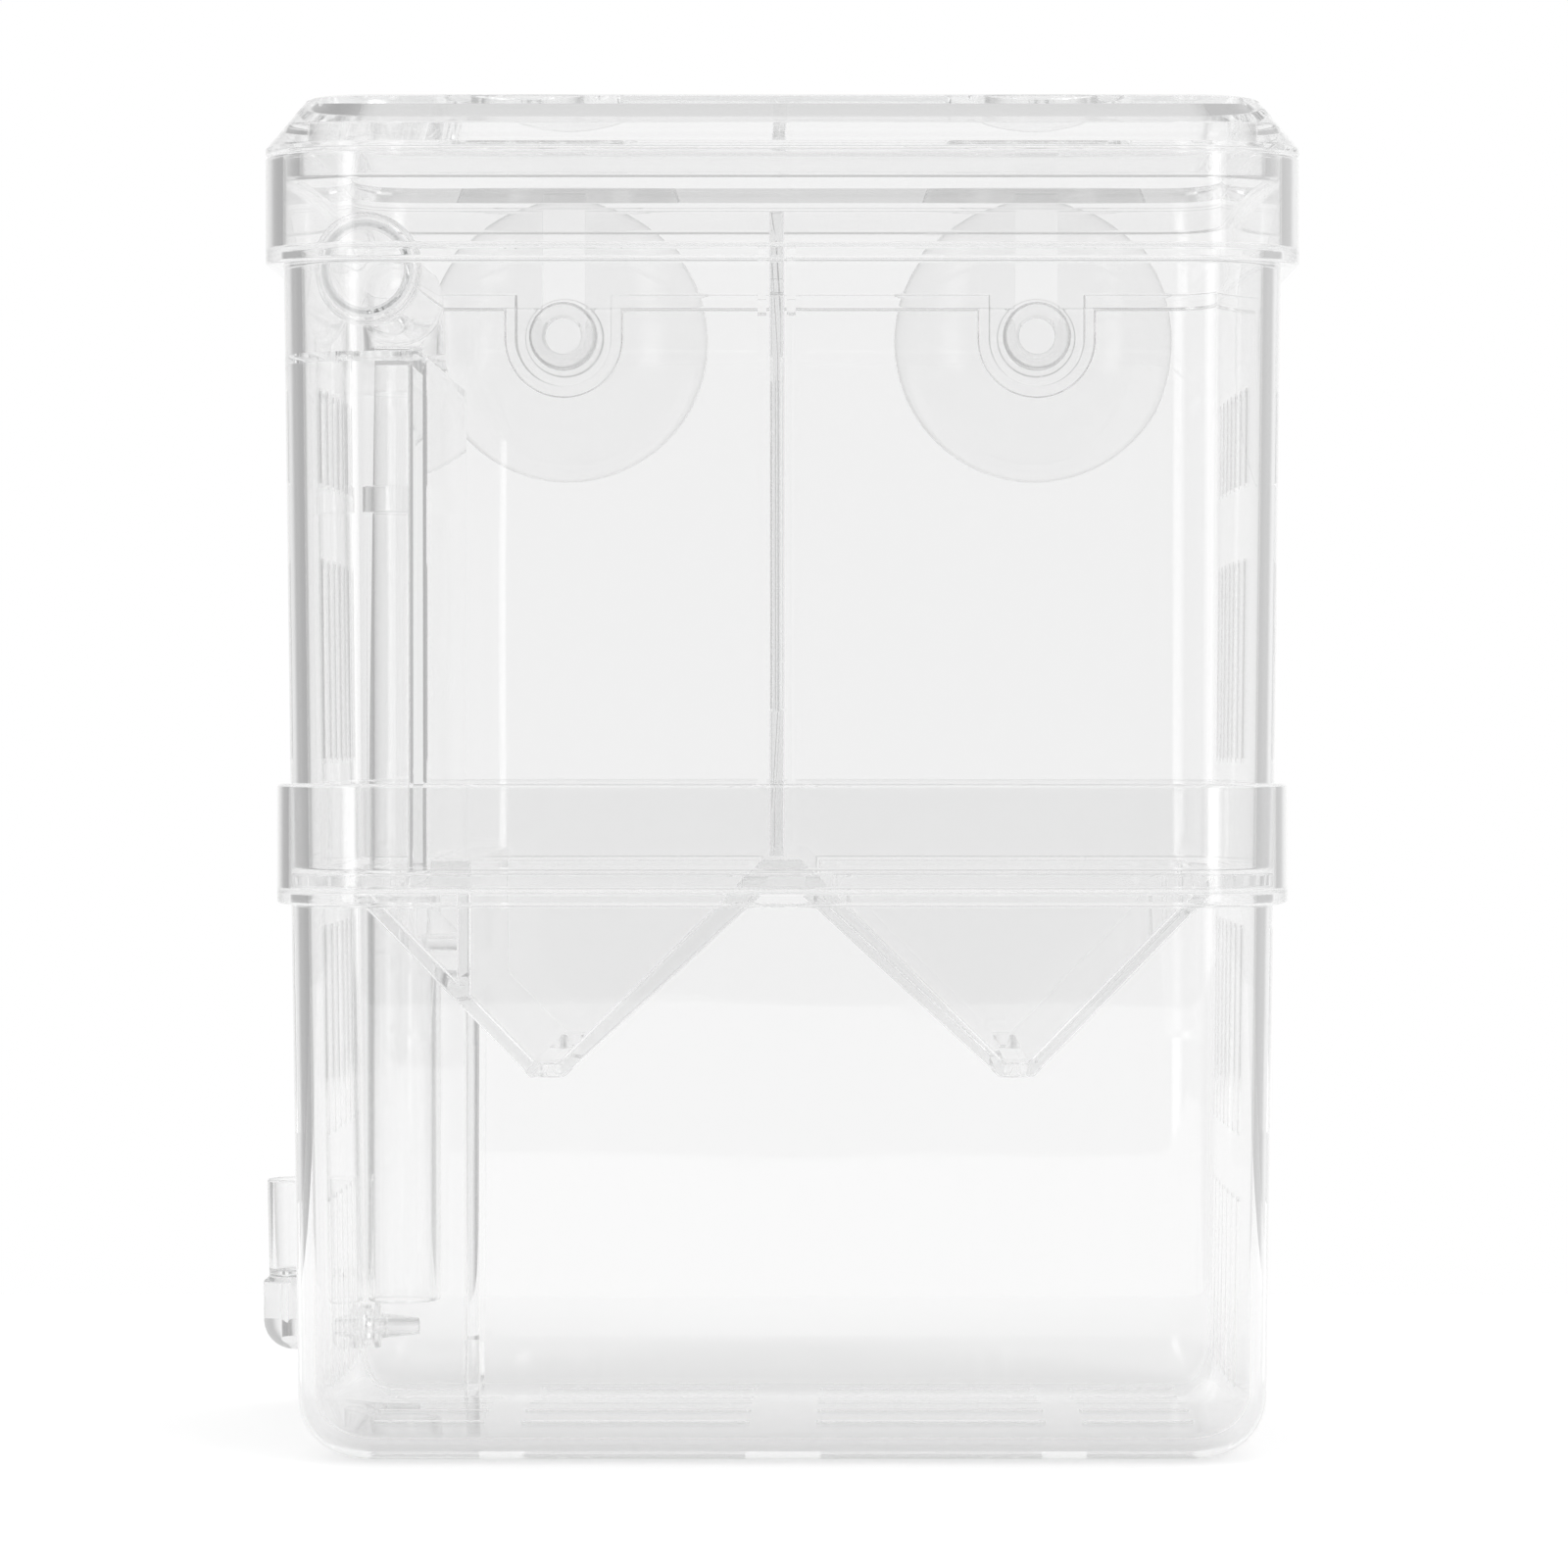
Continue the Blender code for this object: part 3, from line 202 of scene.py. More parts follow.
# Roundness
CORNER_SEGMENTS = 16
ROUND_SEGMENTS = 4
FILLET_SEGMENTS = 14
BEND_SEGMENTS = 14
TUBE_SEGMENTS = 64
CUP_SEGMENTS = 96
SLOT_SEGMENTS = 6
EDGE_SEGMENTS = 2
WELD = 1e-6
FINE_WELD = 1e-7
ROUNDED_EDGE_DEGREES = 40
SHADED_EDGE_DEGREES = 32

# Heights, from the floor up
SHELF_Z = LOWER_HEIGHT - LOWER_COLLAR_HEIGHT
LOWER_FLANGE_Z = SHELF_Z - FLANGE_THICKNESS
TRAY_Z = SHELF_Z + SEAT_GAP
TRAY_TOP_Z = TRAY_Z + TRAY_PLATE
HOPPER_BOTTOM_Z = TRAY_TOP_Z - HOPPER_DEPTH
RIDGE_TOP_Z = TRAY_TOP_Z + RIDGE_HEIGHT
DIVIDER_FOOT_Z = RIDGE_TOP_Z + SEAT_GAP
UPPER_FOOT_Z = TRAY_TOP_Z + SEAT_GAP
RIM_Z = UPPER_FOOT_Z + UPPER_HEIGHT
UPPER_FLANGE_Z = RIM_Z - UPPER_COLLAR_HEIGHT
UPPER_SHELF_Z = UPPER_FLANGE_Z + SHELF_THICKNESS
LID_Z = RIM_Z + SEAT_GAP
LID_TOP_Z = LID_Z + LID_HEIGHT
CHANNEL_TOP_Z = RIM_Z - CHANNEL_DROP
DIVIDER_TOP_Z = RIM_Z - DIVIDER_DROP
CUP_Z = RIM_Z - CUP_DROP
COUPLING_Z = CHANNEL_TOP_Z - COUPLING_DROP
SPOUT_Z = CHANNEL_TOP_Z + SPOUT_RISE
ELBOW_BEND_Z = SPOUT_Z - ELBOW_RADIUS
ELBOW_SEAT_Z = ELBOW_BEND_Z - SEAT_GAP - TUBE_WALL
RISER_TOP_Z = ELBOW_SEAT_Z - SEAT_GAP
RISER_FOOT_Z = AIR_Z + RISER_FOOT_RISE

# Insets from the upper collar's outer face
FOOT_INSET = UPPER_COLLAR_STEP + UPPER_DRAFT
LOWER_COLLAR_IN = FOOT_INSET - SLIDE_GAP
LOWER_COLLAR_OUT = LOWER_COLLAR_IN - LOWER_COLLAR_WALL
LOWER_BASE_INSET = FOOT_INSET + LOWER_DRAFT

# Places across the box
CHANNEL_WALL_X = BOX_WIDTH / 2 - CHANNEL_WIDTH
TRAY_WEB_X = CHANNEL_WALL_X - TRAY_RAIL_WIDTH
HOPPER_TOP_X = BOX_WIDTH / 2 - HOPPER_SIDE_LEDGE
HOPPER_X = HOPPER_TOP_X * HOPPER_CENTRE_SHARE
HOPPER_REACH_Y = BOX_DEPTH / 2 - LOWER_BASE_INSET - LOWER_WALL - SLIDE_GAP
RISER_X = RISER_SIDE - BOX_WIDTH / 2
RISER_Y = BOX_DEPTH / 2 - RISER_BACK
CHAMBER_X = CHAMBER_WIDTH - BOX_WIDTH / 2
CHAMBER_Y = BOX_DEPTH / 2 - CHAMBER_DEPTH
END_WALL_X = LOWER_BASE_INSET - BOX_WIDTH / 2
AIR_AXIS_X = END_WALL_X - AIR_REACH
CUP_X = BOX_WIDTH * CUP_PLACE_SHARE
FEED_HOLE_X = BOX_WIDTH * FEED_HOLE_PLACE_SHARE

# Turns that send an upright shape along another axis
ALONG_X = Matrix(((0, 0, 1, 0), (1, 0, 0, 0), (0, 1, 0, 0), (0, 0, 0, 1)))
ALONG_Y = Matrix(((1, 0, 0, 0), (0, 0, 1, 0), (0, -1, 0, 0), (0, 0, 0, 1)))


def softened(corners, closed=True, steps=ROUND_SEGMENTS):
    """A line through (x, y, radius) corners, each rounded to an arc of its radius."""
    points = []
    for index, (x, y, radius) in enumerate(corners):
        here = Vector((x, y))
        inside = closed or 0 < index < len(corners) - 1
        if radius == 0 or not inside:
            points.append((x, y))
            continue
        before = (Vector(corners[index - 1][:2]) - here).normalized()
        after = (Vector(corners[(index + 1) % len(corners)][:2]) - here).normalized()
        half = before.angle(after) / 2
        centre = here + (before + after).normalized() * radius / math.sin(half)
        start = here + before * radius / math.tan(half) - centre
        end = here + after * radius / math.tan(half) - centre
        turn = start.angle_signed(end)
        for step in range(steps + 1):
            spun = Matrix.Rotation(-turn * step / steps, 2) @ start
            points.append(tuple(centre + spun))
    return points


def plan_plate(half_x, half_y, radius, level=0, segments=CORNER_SEGMENTS):
    """A flat plate with four round corners."""
    shape = bmesh.new()
    bmesh.ops.create_grid(shape, x_segments=1, y_segments=1, size=1)
    bmesh.ops.scale(shape, vec=(half_x, half_y, 1), verts=shape.verts)
    bmesh.ops.bevel(
        shape,
        geom=shape.verts[:],
        offset=radius,
        offset_type="OFFSET",
        segments=segments,
        profile=0.5,
        affect="VERTICES",
        material=-1,
    )
    bmesh.ops.remove_doubles(shape, verts=shape.verts, dist=WELD)
    bmesh.ops.translate(shape, vec=(0, 0, level), verts=shape.verts)
    return shape


def slide_to_inset(verts, inset, next_inset, level):
    """Moves points of the rounded plan in or out to another inset, at a new level."""
    half_x = BOX_WIDTH / 2 - CORNER_RADIUS
    half_y = BOX_DEPTH / 2 - CORNER_RADIUS
    for vert in verts:
        centre = Vector((math.copysign(half_x, vert.co.x), math.copysign(half_y, vert.co.y), 0))
        arm = vert.co - centre
        arm.z = 0
        vert.co = centre + arm * (CORNER_RADIUS - next_inset) / (CORNER_RADIUS - inset)
        vert.co.z = level


def grow(shape, rim):
    """Extrudes a rim of edges, and gives back the new rim and its points."""
    grown = bmesh.ops.extrude_edge_only(shape, edges=rim)["geom"]
    edges = [item for item in grown if isinstance(item, bmesh.types.BMEdge)]
    verts = [item for item in grown if isinstance(item, bmesh.types.BMVert)]
    return edges, verts


def finish_rims(shape, first, last, closed):
    """Joins the last rim back to the first, or caps it."""
    if closed:
        bmesh.ops.bridge_loops(shape, edges=first + last)
    else:
        bmesh.ops.contextual_create(shape, geom=last)


def shell(sections, closed=False):
    """A wall round the box's plan through (inset, level) sections: capped, or closed on itself."""
    inset, level = sections[0]
    shape = plan_plate(BOX_WIDTH / 2 - inset, BOX_DEPTH / 2 - inset, CORNER_RADIUS - inset, level)
    first = shape.edges[:]
    if closed:
        bmesh.ops.delete(shape, geom=shape.faces[:], context="FACES_ONLY")
    rim = first
    for next_inset, next_level in sections[1:]:
        rim, verts = grow(shape, rim)
        slide_to_inset(verts, inset, next_inset, next_level)
        inset = next_inset
    finish_rims(shape, first, rim, closed)
    return shape


def plate_from(points):
    """One flat face with the given outline."""
    shape = bmesh.new()
    shape.faces.new([shape.verts.new((x, y, 0)) for x, y in points])
    return shape


def thicken(shape, low, high):
    """Extrudes a flat face upwards, from low to high."""
    bmesh.ops.translate(shape, vec=(0, 0, low), verts=shape.verts)
    grown = bmesh.ops.extrude_face_region(shape, geom=shape.faces[:])["geom"]
    verts = [item for item in grown if isinstance(item, bmesh.types.BMVert)]
    bmesh.ops.translate(shape, vec=(0, 0, high - low), verts=verts)
    return shape


def upright(points, low, high):
    """A flat outline extruded up from low to high."""
    return thicken(plate_from(points), low, high)


def across(points, low, high):
    """An outline in the XZ plane extruded along Y from low to high."""
    shape = upright([(x, -z) for x, z in points], low, high)
    bmesh.ops.transform(shape, matrix=ALONG_Y, verts=shape.verts)
    return shape


def block(x0, x1, y0, y1, z0, z1):
    """A plain block between two corners."""
    return upright([(x0, y0), (x1, y0), (x1, y1), (x0, y1)], z0, z1)


def turned(profile, place, segments=TUBE_SEGMENTS, closed=False):
    """A round piece drawn through (radius, along) sections: capped, or closed on itself."""
    shape = bmesh.new()
    radius, along = profile[0]
    bmesh.ops.create_circle(shape, cap_ends=not closed, segments=segments, radius=radius)
    bmesh.ops.translate(shape, vec=(0, 0, along), verts=shape.verts)
    first = shape.edges[:]
    rim = first
    for next_radius, next_along in profile[1:]:
        rim, verts = grow(shape, rim)
        share = next_radius / radius
        bmesh.ops.scale(shape, vec=(share, share, 1), verts=verts)
        bmesh.ops.translate(shape, vec=(0, 0, next_along - along), verts=verts)
        radius, along = next_radius, next_along
    finish_rims(shape, first, rim, closed)
    bmesh.ops.transform(shape, matrix=place, verts=shape.verts)
    return shape


def bent_pipe(stations):
    """A pipe drawn through (centre, direction, radius) stations, closed on itself."""
    shape = bmesh.new()
    bmesh.ops.create_circle(shape, cap_ends=False, segments=TUBE_SEGMENTS, radius=1)
    first = shape.edges[:]
    rim = first
    last = Matrix.Identity(4)
    for number, (centre, direction, radius) in enumerate(stations):
        facing = Vector(direction).to_track_quat("Z", "X").to_matrix().to_4x4()
        pose = Matrix.Translation(centre) @ facing @ Matrix.Scale(radius, 4)
        verts = shape.verts[:]
        if number:
            rim, verts = grow(shape, rim)
        bmesh.ops.transform(shape, matrix=pose @ last.inverted(), verts=verts)
        last = pose
    finish_rims(shape, first, rim, closed=True)
    return shape


def settle(name, shape):
    """A linked mesh object from an edit mesh as it is."""
    mesh = bpy.data.meshes.new(name)
    shape.to_mesh(mesh)
    shape.free()
    piece = bpy.data.objects.new(name, mesh)
    bpy.context.collection.objects.link(piece)
    return piece


def solid(name, shape):
    """A mesh object from an edit mesh, with its faces pointing out."""
    bmesh.ops.remove_doubles(shape, verts=shape.verts, dist=FINE_WELD)
    bmesh.ops.recalc_face_normals(shape, faces=shape.faces)
    return settle(name, shape)


def gather(name, shapes):
    """One object from several separate shapes."""
    whole = bmesh.new()
    for shape in shapes:
        bmesh.ops.recalc_face_normals(shape, faces=shape.faces)
        part = bpy.data.meshes.new(name)
        shape.to_mesh(part)
        shape.free()
        whole.from_mesh(part)
        bpy.data.meshes.remove(part)
    return settle(name, whole)


def work(piece, tool, operation):
    """Cuts, joins or keeps what the tool covers, and throws the tool away."""
    step = piece.modifiers.new(operation.lower(), "BOOLEAN")
    step.operation = operation
    step.object = tool
    step.solver = "EXACT"
    graph = bpy.context.evaluated_depsgraph_get()
    mesh = bpy.data.meshes.new_from_object(piece.evaluated_get(graph))
    shape = bmesh.new()
    shape.from_mesh(mesh)
    bmesh.ops.dissolve_degenerate(shape, edges=shape.edges, dist=WELD)
    shape.to_mesh(mesh)
    shape.free()
    piece.modifiers.clear()
    old = piece.data
    piece.data = mesh
    mesh.name = piece.name
    bpy.data.meshes.remove(old)
    spare = tool.data
    bpy.data.objects.remove(tool)
    bpy.data.meshes.remove(spare)


def slot_plug(length, low, high):
    """A round-ended plug that cuts one slot, lying along X."""
    radius = SLOT_WIDTH / 2
    return thicken(plan_plate(length / 2, radius, radius, 0, SLOT_SEGMENTS), low, high)


def side_slots(bands, reach):
    """Plugs for the upright slots in both end walls."""
    plugs = []
    span = BOX_DEPTH - 2 * SIDE_SLOT_MARGIN
    inner = reach - WALL - 2 * OVERRUN
    for bottom, top in bands:
        for side in (-1, 1):
            for number in range(SIDE_SLOT_COUNT):
                plug = slot_plug(top - bottom, *sorted((side * inner, side * reach)))
                stand = Matrix(((0, 0, 1, 0), (0, 1, 0, 0), (-1, 0, 0, 0), (0, 0, 0, 1)))
                stand.translation = (0, span * (number / (SIDE_SLOT_COUNT - 1) - 1 / 2), (bottom + top) / 2)
                bmesh.ops.transform(plug, matrix=stand, verts=plug.verts)
                plugs.append(plug)
    return plugs


def two_bands(bottom, top, bridge, low_share):
    """Heights of two slot bands between bottom and top, with a bridge between them."""
    low_top = bottom + (top - bottom - bridge) * low_share
    return ((bottom, low_top), (low_top + bridge, top))


def floor_slots():
    """Plugs for the floor's slots, a long and a short one each side of the middle."""
    plugs = []
    reach = BOX_WIDTH / 2 - LOWER_BASE_INSET - FOOT_FILLET - FLOOR_SLOT_MARGIN
    run = reach - FLOOR_SLOT_INNER - FLOOR_SLOT_BRIDGE
    long_slot = run * FLOOR_LONG_SLOT_SHARE
    short_slot = run - long_slot
    columns = ((FLOOR_SLOT_INNER + long_slot / 2, long_slot), (reach - short_slot / 2, short_slot))
    last_y = BOX_DEPTH / 2 - LOWER_BASE_INSET - FOOT_FILLET - FLOOR_SLOT_END
    for row in range(FLOOR_SLOT_ROWS):
        y = last_y * (2 * row / (FLOOR_SLOT_ROWS - 1) - 1)
        for side in (-1, 1):
            for centre, length in columns:
                beside_chamber = y > CHAMBER_Y - 2 * SLOT_WIDTH and centre + length / 2 > -CHAMBER_X
                if side < 0 and beside_chamber:
                    continue
                plug = slot_plug(length, -OVERRUN, FLOOR_THICKNESS + OVERRUN)
                bmesh.ops.translate(plug, vec=(side * centre, y, 0), verts=plug.verts)
                plugs.append(plug)
    return plugs


def make_lower_box():
    """Tapering cup with its stepped-out collar, riser chamber, air boss and slots."""
    inner_top = FOOT_INSET + LOWER_WALL
    inner_base = LOWER_BASE_INSET + LOWER_WALL
    flat_inset = LOWER_BASE_INSET + FOOT_FILLET
    outside = softened(
        [(flat_inset, 0, 0), (LOWER_BASE_INSET, 0, FOOT_FILLET), (FOOT_INSET, LOWER_FLANGE_Z, 0)],
        closed=False,
        steps=FILLET_SEGMENTS,
    )[:-1]
    collar = softened(
        [
            (LOWER_BASE_INSET, FOOT_FILLET, 0),
            (FOOT_INSET, LOWER_FLANGE_Z, EDGE_ROUND),
            (LOWER_COLLAR_OUT, LOWER_FLANGE_Z, RIM_ROUND),
            (LOWER_COLLAR_OUT, LOWER_HEIGHT, RIM_ROUND),
            (LOWER_COLLAR_IN, LOWER_HEIGHT, RIM_ROUND),
            (LOWER_COLLAR_IN, SHELF_Z, EDGE_ROUND),
            (inner_top, SHELF_Z, RIM_ROUND),
            (inner_base, FOOT_FILLET, 0),
        ],
        closed=False,
    )[1:-1]
    inside = softened(
        [
            (inner_top, SHELF_Z, 0),
            (inner_base, FLOOR_THICKNESS, FOOT_FILLET - LOWER_WALL),
            (flat_inset, FLOOR_THICKNESS, 0),
        ],
        closed=False,
        steps=FILLET_SEGMENTS,
    )[1:]
    box = solid("lower_box_clear", shell(outside + collar + inside))

    chamber_top = SHELF_Z - CHAMBER_TOP_DROP
    far_x = -BOX_WIDTH / 2
    far_y = BOX_DEPTH / 2
    outer = softened(
        [
            (far_x, CHAMBER_Y, 0),
            (CHAMBER_X, CHAMBER_Y, CHAMBER_CORNER),
            (CHAMBER_X, far_y, 0),
            (far_x, far_y, 0),
        ],
        steps=CORNER_SEGMENTS,
    )
    hollow_x = CHAMBER_X - CHAMBER_WALL
    hollow_y = CHAMBER_Y + CHAMBER_WALL
    inner = softened(
        [
            (far_x - OVERRUN, hollow_y, 0),
            (hollow_x, hollow_y, CHAMBER_CORNER - CHAMBER_WALL),
            (hollow_x, far_y + OVERRUN, 0),
            (far_x - OVERRUN, far_y + OVERRUN, 0),
        ],
        steps=CORNER_SEGMENTS,
    )
    chamber = solid("chamber", upright(outer, FLOOR_THICKNESS / 2, chamber_top))
    work(chamber, solid("chamber_hollow", upright(inner, -OVERRUN, SHELF_Z + OVERRUN)), "DIFFERENCE")
    core = softened(
        [
            (flat_inset, FLOOR_THICKNESS / 2, 0),
            (LOWER_BASE_INSET + LOWER_WALL / 2, FLOOR_THICKNESS / 2, FOOT_FILLET - LOWER_WALL / 2),
            (FOOT_INSET + LOWER_WALL / 2, chamber_top + OVERRUN, 0),
        ],
        closed=False,
        steps=FILLET_SEGMENTS,
    )
    work(chamber, solid("chamber_core", shell(core)), "INTERSECT")
    work(box, chamber, "UNION")

    wall_in = END_WALL_X + LOWER_WALL
    pin_hole = AIR_PIN_DIAMETER / 2 + SLIDE_GAP
    air_place = Matrix.Translation((0, RISER_Y, AIR_Z)) @ ALONG_X
    boss = [
        (AIR_BOSS_DIAMETER / 2, END_WALL_X + LOWER_WALL / 2),
        (AIR_BOSS_DIAMETER / 2, wall_in + AIR_BOSS_LENGTH - EDGE_ROUND),
        (AIR_BOSS_DIAMETER / 2 - EDGE_ROUND, wall_in + AIR_BOSS_LENGTH),
    ]
    work(box, solid("air_boss", turned(boss, air_place)), "UNION")
    bore = [(pin_hole, END_WALL_X - OVERRUN), (pin_hole, wall_in + AIR_BOSS_LENGTH + OVERRUN)]
    inlet_y = (CHAMBER_Y + BOX_DEPTH / 2 - LOWER_BASE_INSET - LOWER_WALL) / 2
    inlet = block(
        CHAMBER_X - CHAMBER_WALL - OVERRUN,
        CHAMBER_X + OVERRUN,
        inlet_y - CHAMBER_INLET_WIDTH / 2,
        inlet_y + CHAMBER_INLET_WIDTH / 2,
        FLOOR_THICKNESS + SEAT_GAP,
        FLOOR_THICKNESS + SEAT_GAP + CHAMBER_INLET_HEIGHT,
    )
    slot_top = LOWER_FLANGE_Z - LOWER_SLOT_DROP
    bands = two_bands(LOWER_SLOT_BOTTOM, slot_top, LOWER_SLOT_BRIDGE, LOWER_BAND_SHARE)
    slots = side_slots(bands, BOX_WIDTH / 2 - FOOT_INSET + OVERRUN)
    openings = [turned(bore, air_place), inlet, *slots, *floor_slots()]
    work(box, gather("lower_box_openings", openings), "DIFFERENCE")
    return box


def hopper_lines():
    """Slopes and foot widths that the tray's section and end walls share."""
    half_foot = HOPPER_FOOT_WIDTH / 2
    rise = HOPPER_DEPTH / (HOPPER_TOP_X - HOPPER_X - half_foot)
    slope = math.atan(rise)
    thickness_x = TRAY_WALL / math.sin(slope)
    inner_foot = half_foot - TRAY_WALL * (1 / math.cos(slope) - 1) / rise
    return half_foot, rise, thickness_x, inner_foot


def hopper_section():
    """The tray's section across its width: two V hoppers, their ridge, the web and its rail."""
    low = HOPPER_BOTTOM_Z
    floor = low + TRAY_WALL
    half_foot, rise, thickness_x, inner_foot = hopper_lines()
    top = TRAY_TOP_Z - HOPPER_SINK
    ridge = RIDGE_WIDTH / 2
    ridge_rise = (RIDGE_TOP_Z - floor) / (HOPPER_X - inner_foot - ridge)
    under_ridge = low + (HOPPER_X - half_foot - ridge) * ridge_rise - TRAY_WALL
    web_left = TRAY_WEB_X + TRAY_WALL
    rail_left = CHANNEL_WALL_X - SLIDE_GAP
    rail_top = TRAY_TOP_Z + TRAY_RAIL_HEIGHT
    ledge_left = CHANNEL_WALL_X + WALL

    def slope_top(x):
        """Height of the outer slope's upper face."""
        return low + (x + thickness_x - HOPPER_X - half_foot) * rise

    right = [
        (ridge, under_ridge),
        (HOPPER_X - half_foot, low),
        (HOPPER_X + half_foot, low),
        (HOPPER_TOP_X, top),
        (HOPPER_TOP_X - thickness_x, top),
        (HOPPER_X + inner_foot, floor),
        (HOPPER_X - inner_foot, floor),
        (ridge, RIDGE_TOP_Z),
    ]
    left = [
        (-ridge, RIDGE_TOP_Z),
        (inner_foot - HOPPER_X, floor),
        (-inner_foot - HOPPER_X, floor),
        (-TRAY_WEB_X, slope_top(TRAY_WEB_X)),
        (-TRAY_WEB_X, rail_top),
        (-rail_left, rail_top),
        (-rail_left, TRAY_TOP_Z),
        (-ledge_left, TRAY_TOP_Z),
        (-ledge_left, TRAY_Z),
        (-web_left, TRAY_Z),
        (-web_left, slope_top(web_left)),
        (thickness_x - HOPPER_TOP_X, top),
        (-HOPPER_TOP_X, top),
        (-half_foot - HOPPER_X, low),
        (half_foot - HOPPER_X, low),
        (-ridge, under_ridge),
    ]
    return right + left


def make_hopper_tray():
    """Drop-in tray with its flat rim, two V hoppers, their end walls and slots."""
    rim = softened(
        [
            (FOOT_INSET + 4 * RIM_ROUND, TRAY_Z, 0),
            (FOOT_INSET, TRAY_Z, EDGE_ROUND),
            (FOOT_INSET, TRAY_TOP_Z, EDGE_ROUND),
            (FOOT_INSET + 4 * RIM_ROUND, TRAY_TOP_Z, 0),
        ],
        closed=False,
    )
    tray = solid("hopper_tray_clear", shell(rim))
    opening_y = HOPPER_REACH_Y - TRAY_LEDGE / 2
    opening_x = HOPPER_TOP_X - TRAY_WALL
    low = TRAY_Z - OVERRUN
    high = TRAY_TOP_Z + OVERRUN
    well = block(-CHANNEL_WALL_X, opening_x, -opening_y, opening_y, low, high)
    side_well = block(
        -opening_x,
        OVERRUN / 2 - CHANNEL_WALL_X,
        -opening_y,
        CHAMBER_Y - SLIDE_GAP,
        low - OVERRUN,
        high + OVERRUN,
    )
    work(tray, solid("well", well), "DIFFERENCE")
    work(tray, solid("side_well", side_well), "DIFFERENCE")

    plates = across(hopper_section(), -HOPPER_REACH_Y, HOPPER_REACH_Y)
    round_edges(plates, EDGE_ROUND, ROUND_SEGMENTS)
    hoppers = solid("hoppers", plates)
    half_foot = hopper_lines()[0]
    top = TRAY_TOP_Z - HOPPER_SINK
    walls = []
    for side in (-1, 1):
        outline = softened(
            [
                (side * RIDGE_WIDTH / 2, top, 0),
                (side * (HOPPER_X - half_foot), HOPPER_BOTTOM_Z, 2 * RIM_ROUND),
                (side * (HOPPER_X + half_foot), HOPPER_BOTTOM_Z, 2 * RIM_ROUND),
                (side * HOPPER_TOP_X, top, 0),
            ]
        )
        for end in (-1, 1):
            outer = HOPPER_REACH_Y - HOPPER_END_SETBACK
            near = min(end * outer, end * (outer - HOPPER_END_WALL))
            walls.append(across(outline, near, near + HOPPER_END_WALL))
    work(hoppers, gather("end_walls", walls), "UNION")
    room = block(
        -BOX_WIDTH / 2,
        CHAMBER_X + SLIDE_GAP,
        CHAMBER_Y - SLIDE_GAP,
        BOX_DEPTH / 2,
        -OVERRUN,
        TRAY_Z,
    )
    work(hoppers, solid("chamber_room", room), "DIFFERENCE")
    work(tray, hoppers, "UNION")

    riser_hole = RISER_DIAMETER / 2 + SLIDE_GAP
    place = Matrix.Translation((RISER_X, RISER_Y, 0))
    openings = [turned([(riser_hole, HOPPER_BOTTOM_Z), (riser_hole, LOWER_HEIGHT)], place)]
    slot_reach = HOPPER_REACH_Y - HOPPER_SLOT_MARGIN
    half_slot = HOPPER_SLOT_WIDTH / 2
    for side in (-1, 1):
        plug = thicken(
            plan_plate(half_slot, slot_reach, half_slot, 0, SLOT_SEGMENTS),
            HOPPER_BOTTOM_Z - OVERRUN,
            HOPPER_BOTTOM_Z + TRAY_WALL + OVERRUN,
        )
        bmesh.ops.translate(plug, vec=(side * HOPPER_X, 0, 0), verts=plug.verts)
        openings.append(plug)
    work(tray, gather("tray_openings", openings), "DIFFERENCE")
    return tray


def arch(width, top_z, centre_z):
    """A U in the XZ plane about X zero, open side up, closed at top_z."""
    points = [(-width / 2, top_z)]
    for step in range(2 * CORNER_SEGMENTS + 1):
        angle = math.radians(180 + 180 * step / (2 * CORNER_SEGMENTS))
        points.append((width / 2 * math.cos(angle), centre_z + width / 2 * math.sin(angle)))
    points.append((width / 2, top_z))
    return points


def cove(radius, origin, first, second, along):
    """A nearly flat strip that fills the corner between two faces, and sinks a little into both."""
    sunk = -EDGE_ROUND
    middle = radius * COVE_MIDDLE_SHARE
    points = [(sunk, sunk), (radius, sunk), (radius, 0), (middle, middle), (0, radius), (sunk, radius)]
    strip = upright(points, 0, 1)
    place = Matrix.Identity(4)
    for column, vector in enumerate((first, second, along, origin)):
        place.col[column].xyz = vector
    bmesh.ops.transform(strip, matrix=place, verts=strip.verts)
    return strip


def fillet_channel(box):
    """Rounds the inner corners between the channel's wall and roof and the box's front wall."""
    foot_y = BOX_DEPTH / 2 - FOOT_INSET - WALL
    lean = UPPER_DRAFT / (UPPER_FLANGE_Z - UPPER_FOOT_Z)
    low = UPPER_FOOT_Z + EDGE_ROUND
    high = CHANNEL_TOP_Z - CHANNEL_FILLET
    rise = high - low
    inward = (0, 1, 0)
    near_y = -foot_y - lean * (low - UPPER_FOOT_Z)
    along = (0, -lean * rise, rise)
    right_x = -CHANNEL_WALL_X - CHANNEL_SLIM
    uprights = []
    for face_x, away in ((right_x, 1), (right_x + 2 * CHANNEL_SLIM - WALL, -1)):
        uprights.append(cove(CHANNEL_FILLET, (face_x, near_y, low), (away, 0, 0), inward, along))
    far_x = CORNER_RADIUS - BOX_WIDTH / 2
    run = (-CHANNEL_WALL_X - RIM_ROUND - far_x, 0, 0)
    levels = []
    for level, away in ((CHANNEL_TOP_Z, 1), (CHANNEL_TOP_Z - CHANNEL_ROOF, -1)):
        wall_y = -foot_y - lean * (level - UPPER_FOOT_Z)
        levels.append(cove(CHANNEL_FILLET, (far_x, wall_y, level), (0, 0, away), inward, run))
    work(box, gather("upright_coves", uprights), "UNION")
    work(box, gather("level_coves", levels), "UNION")


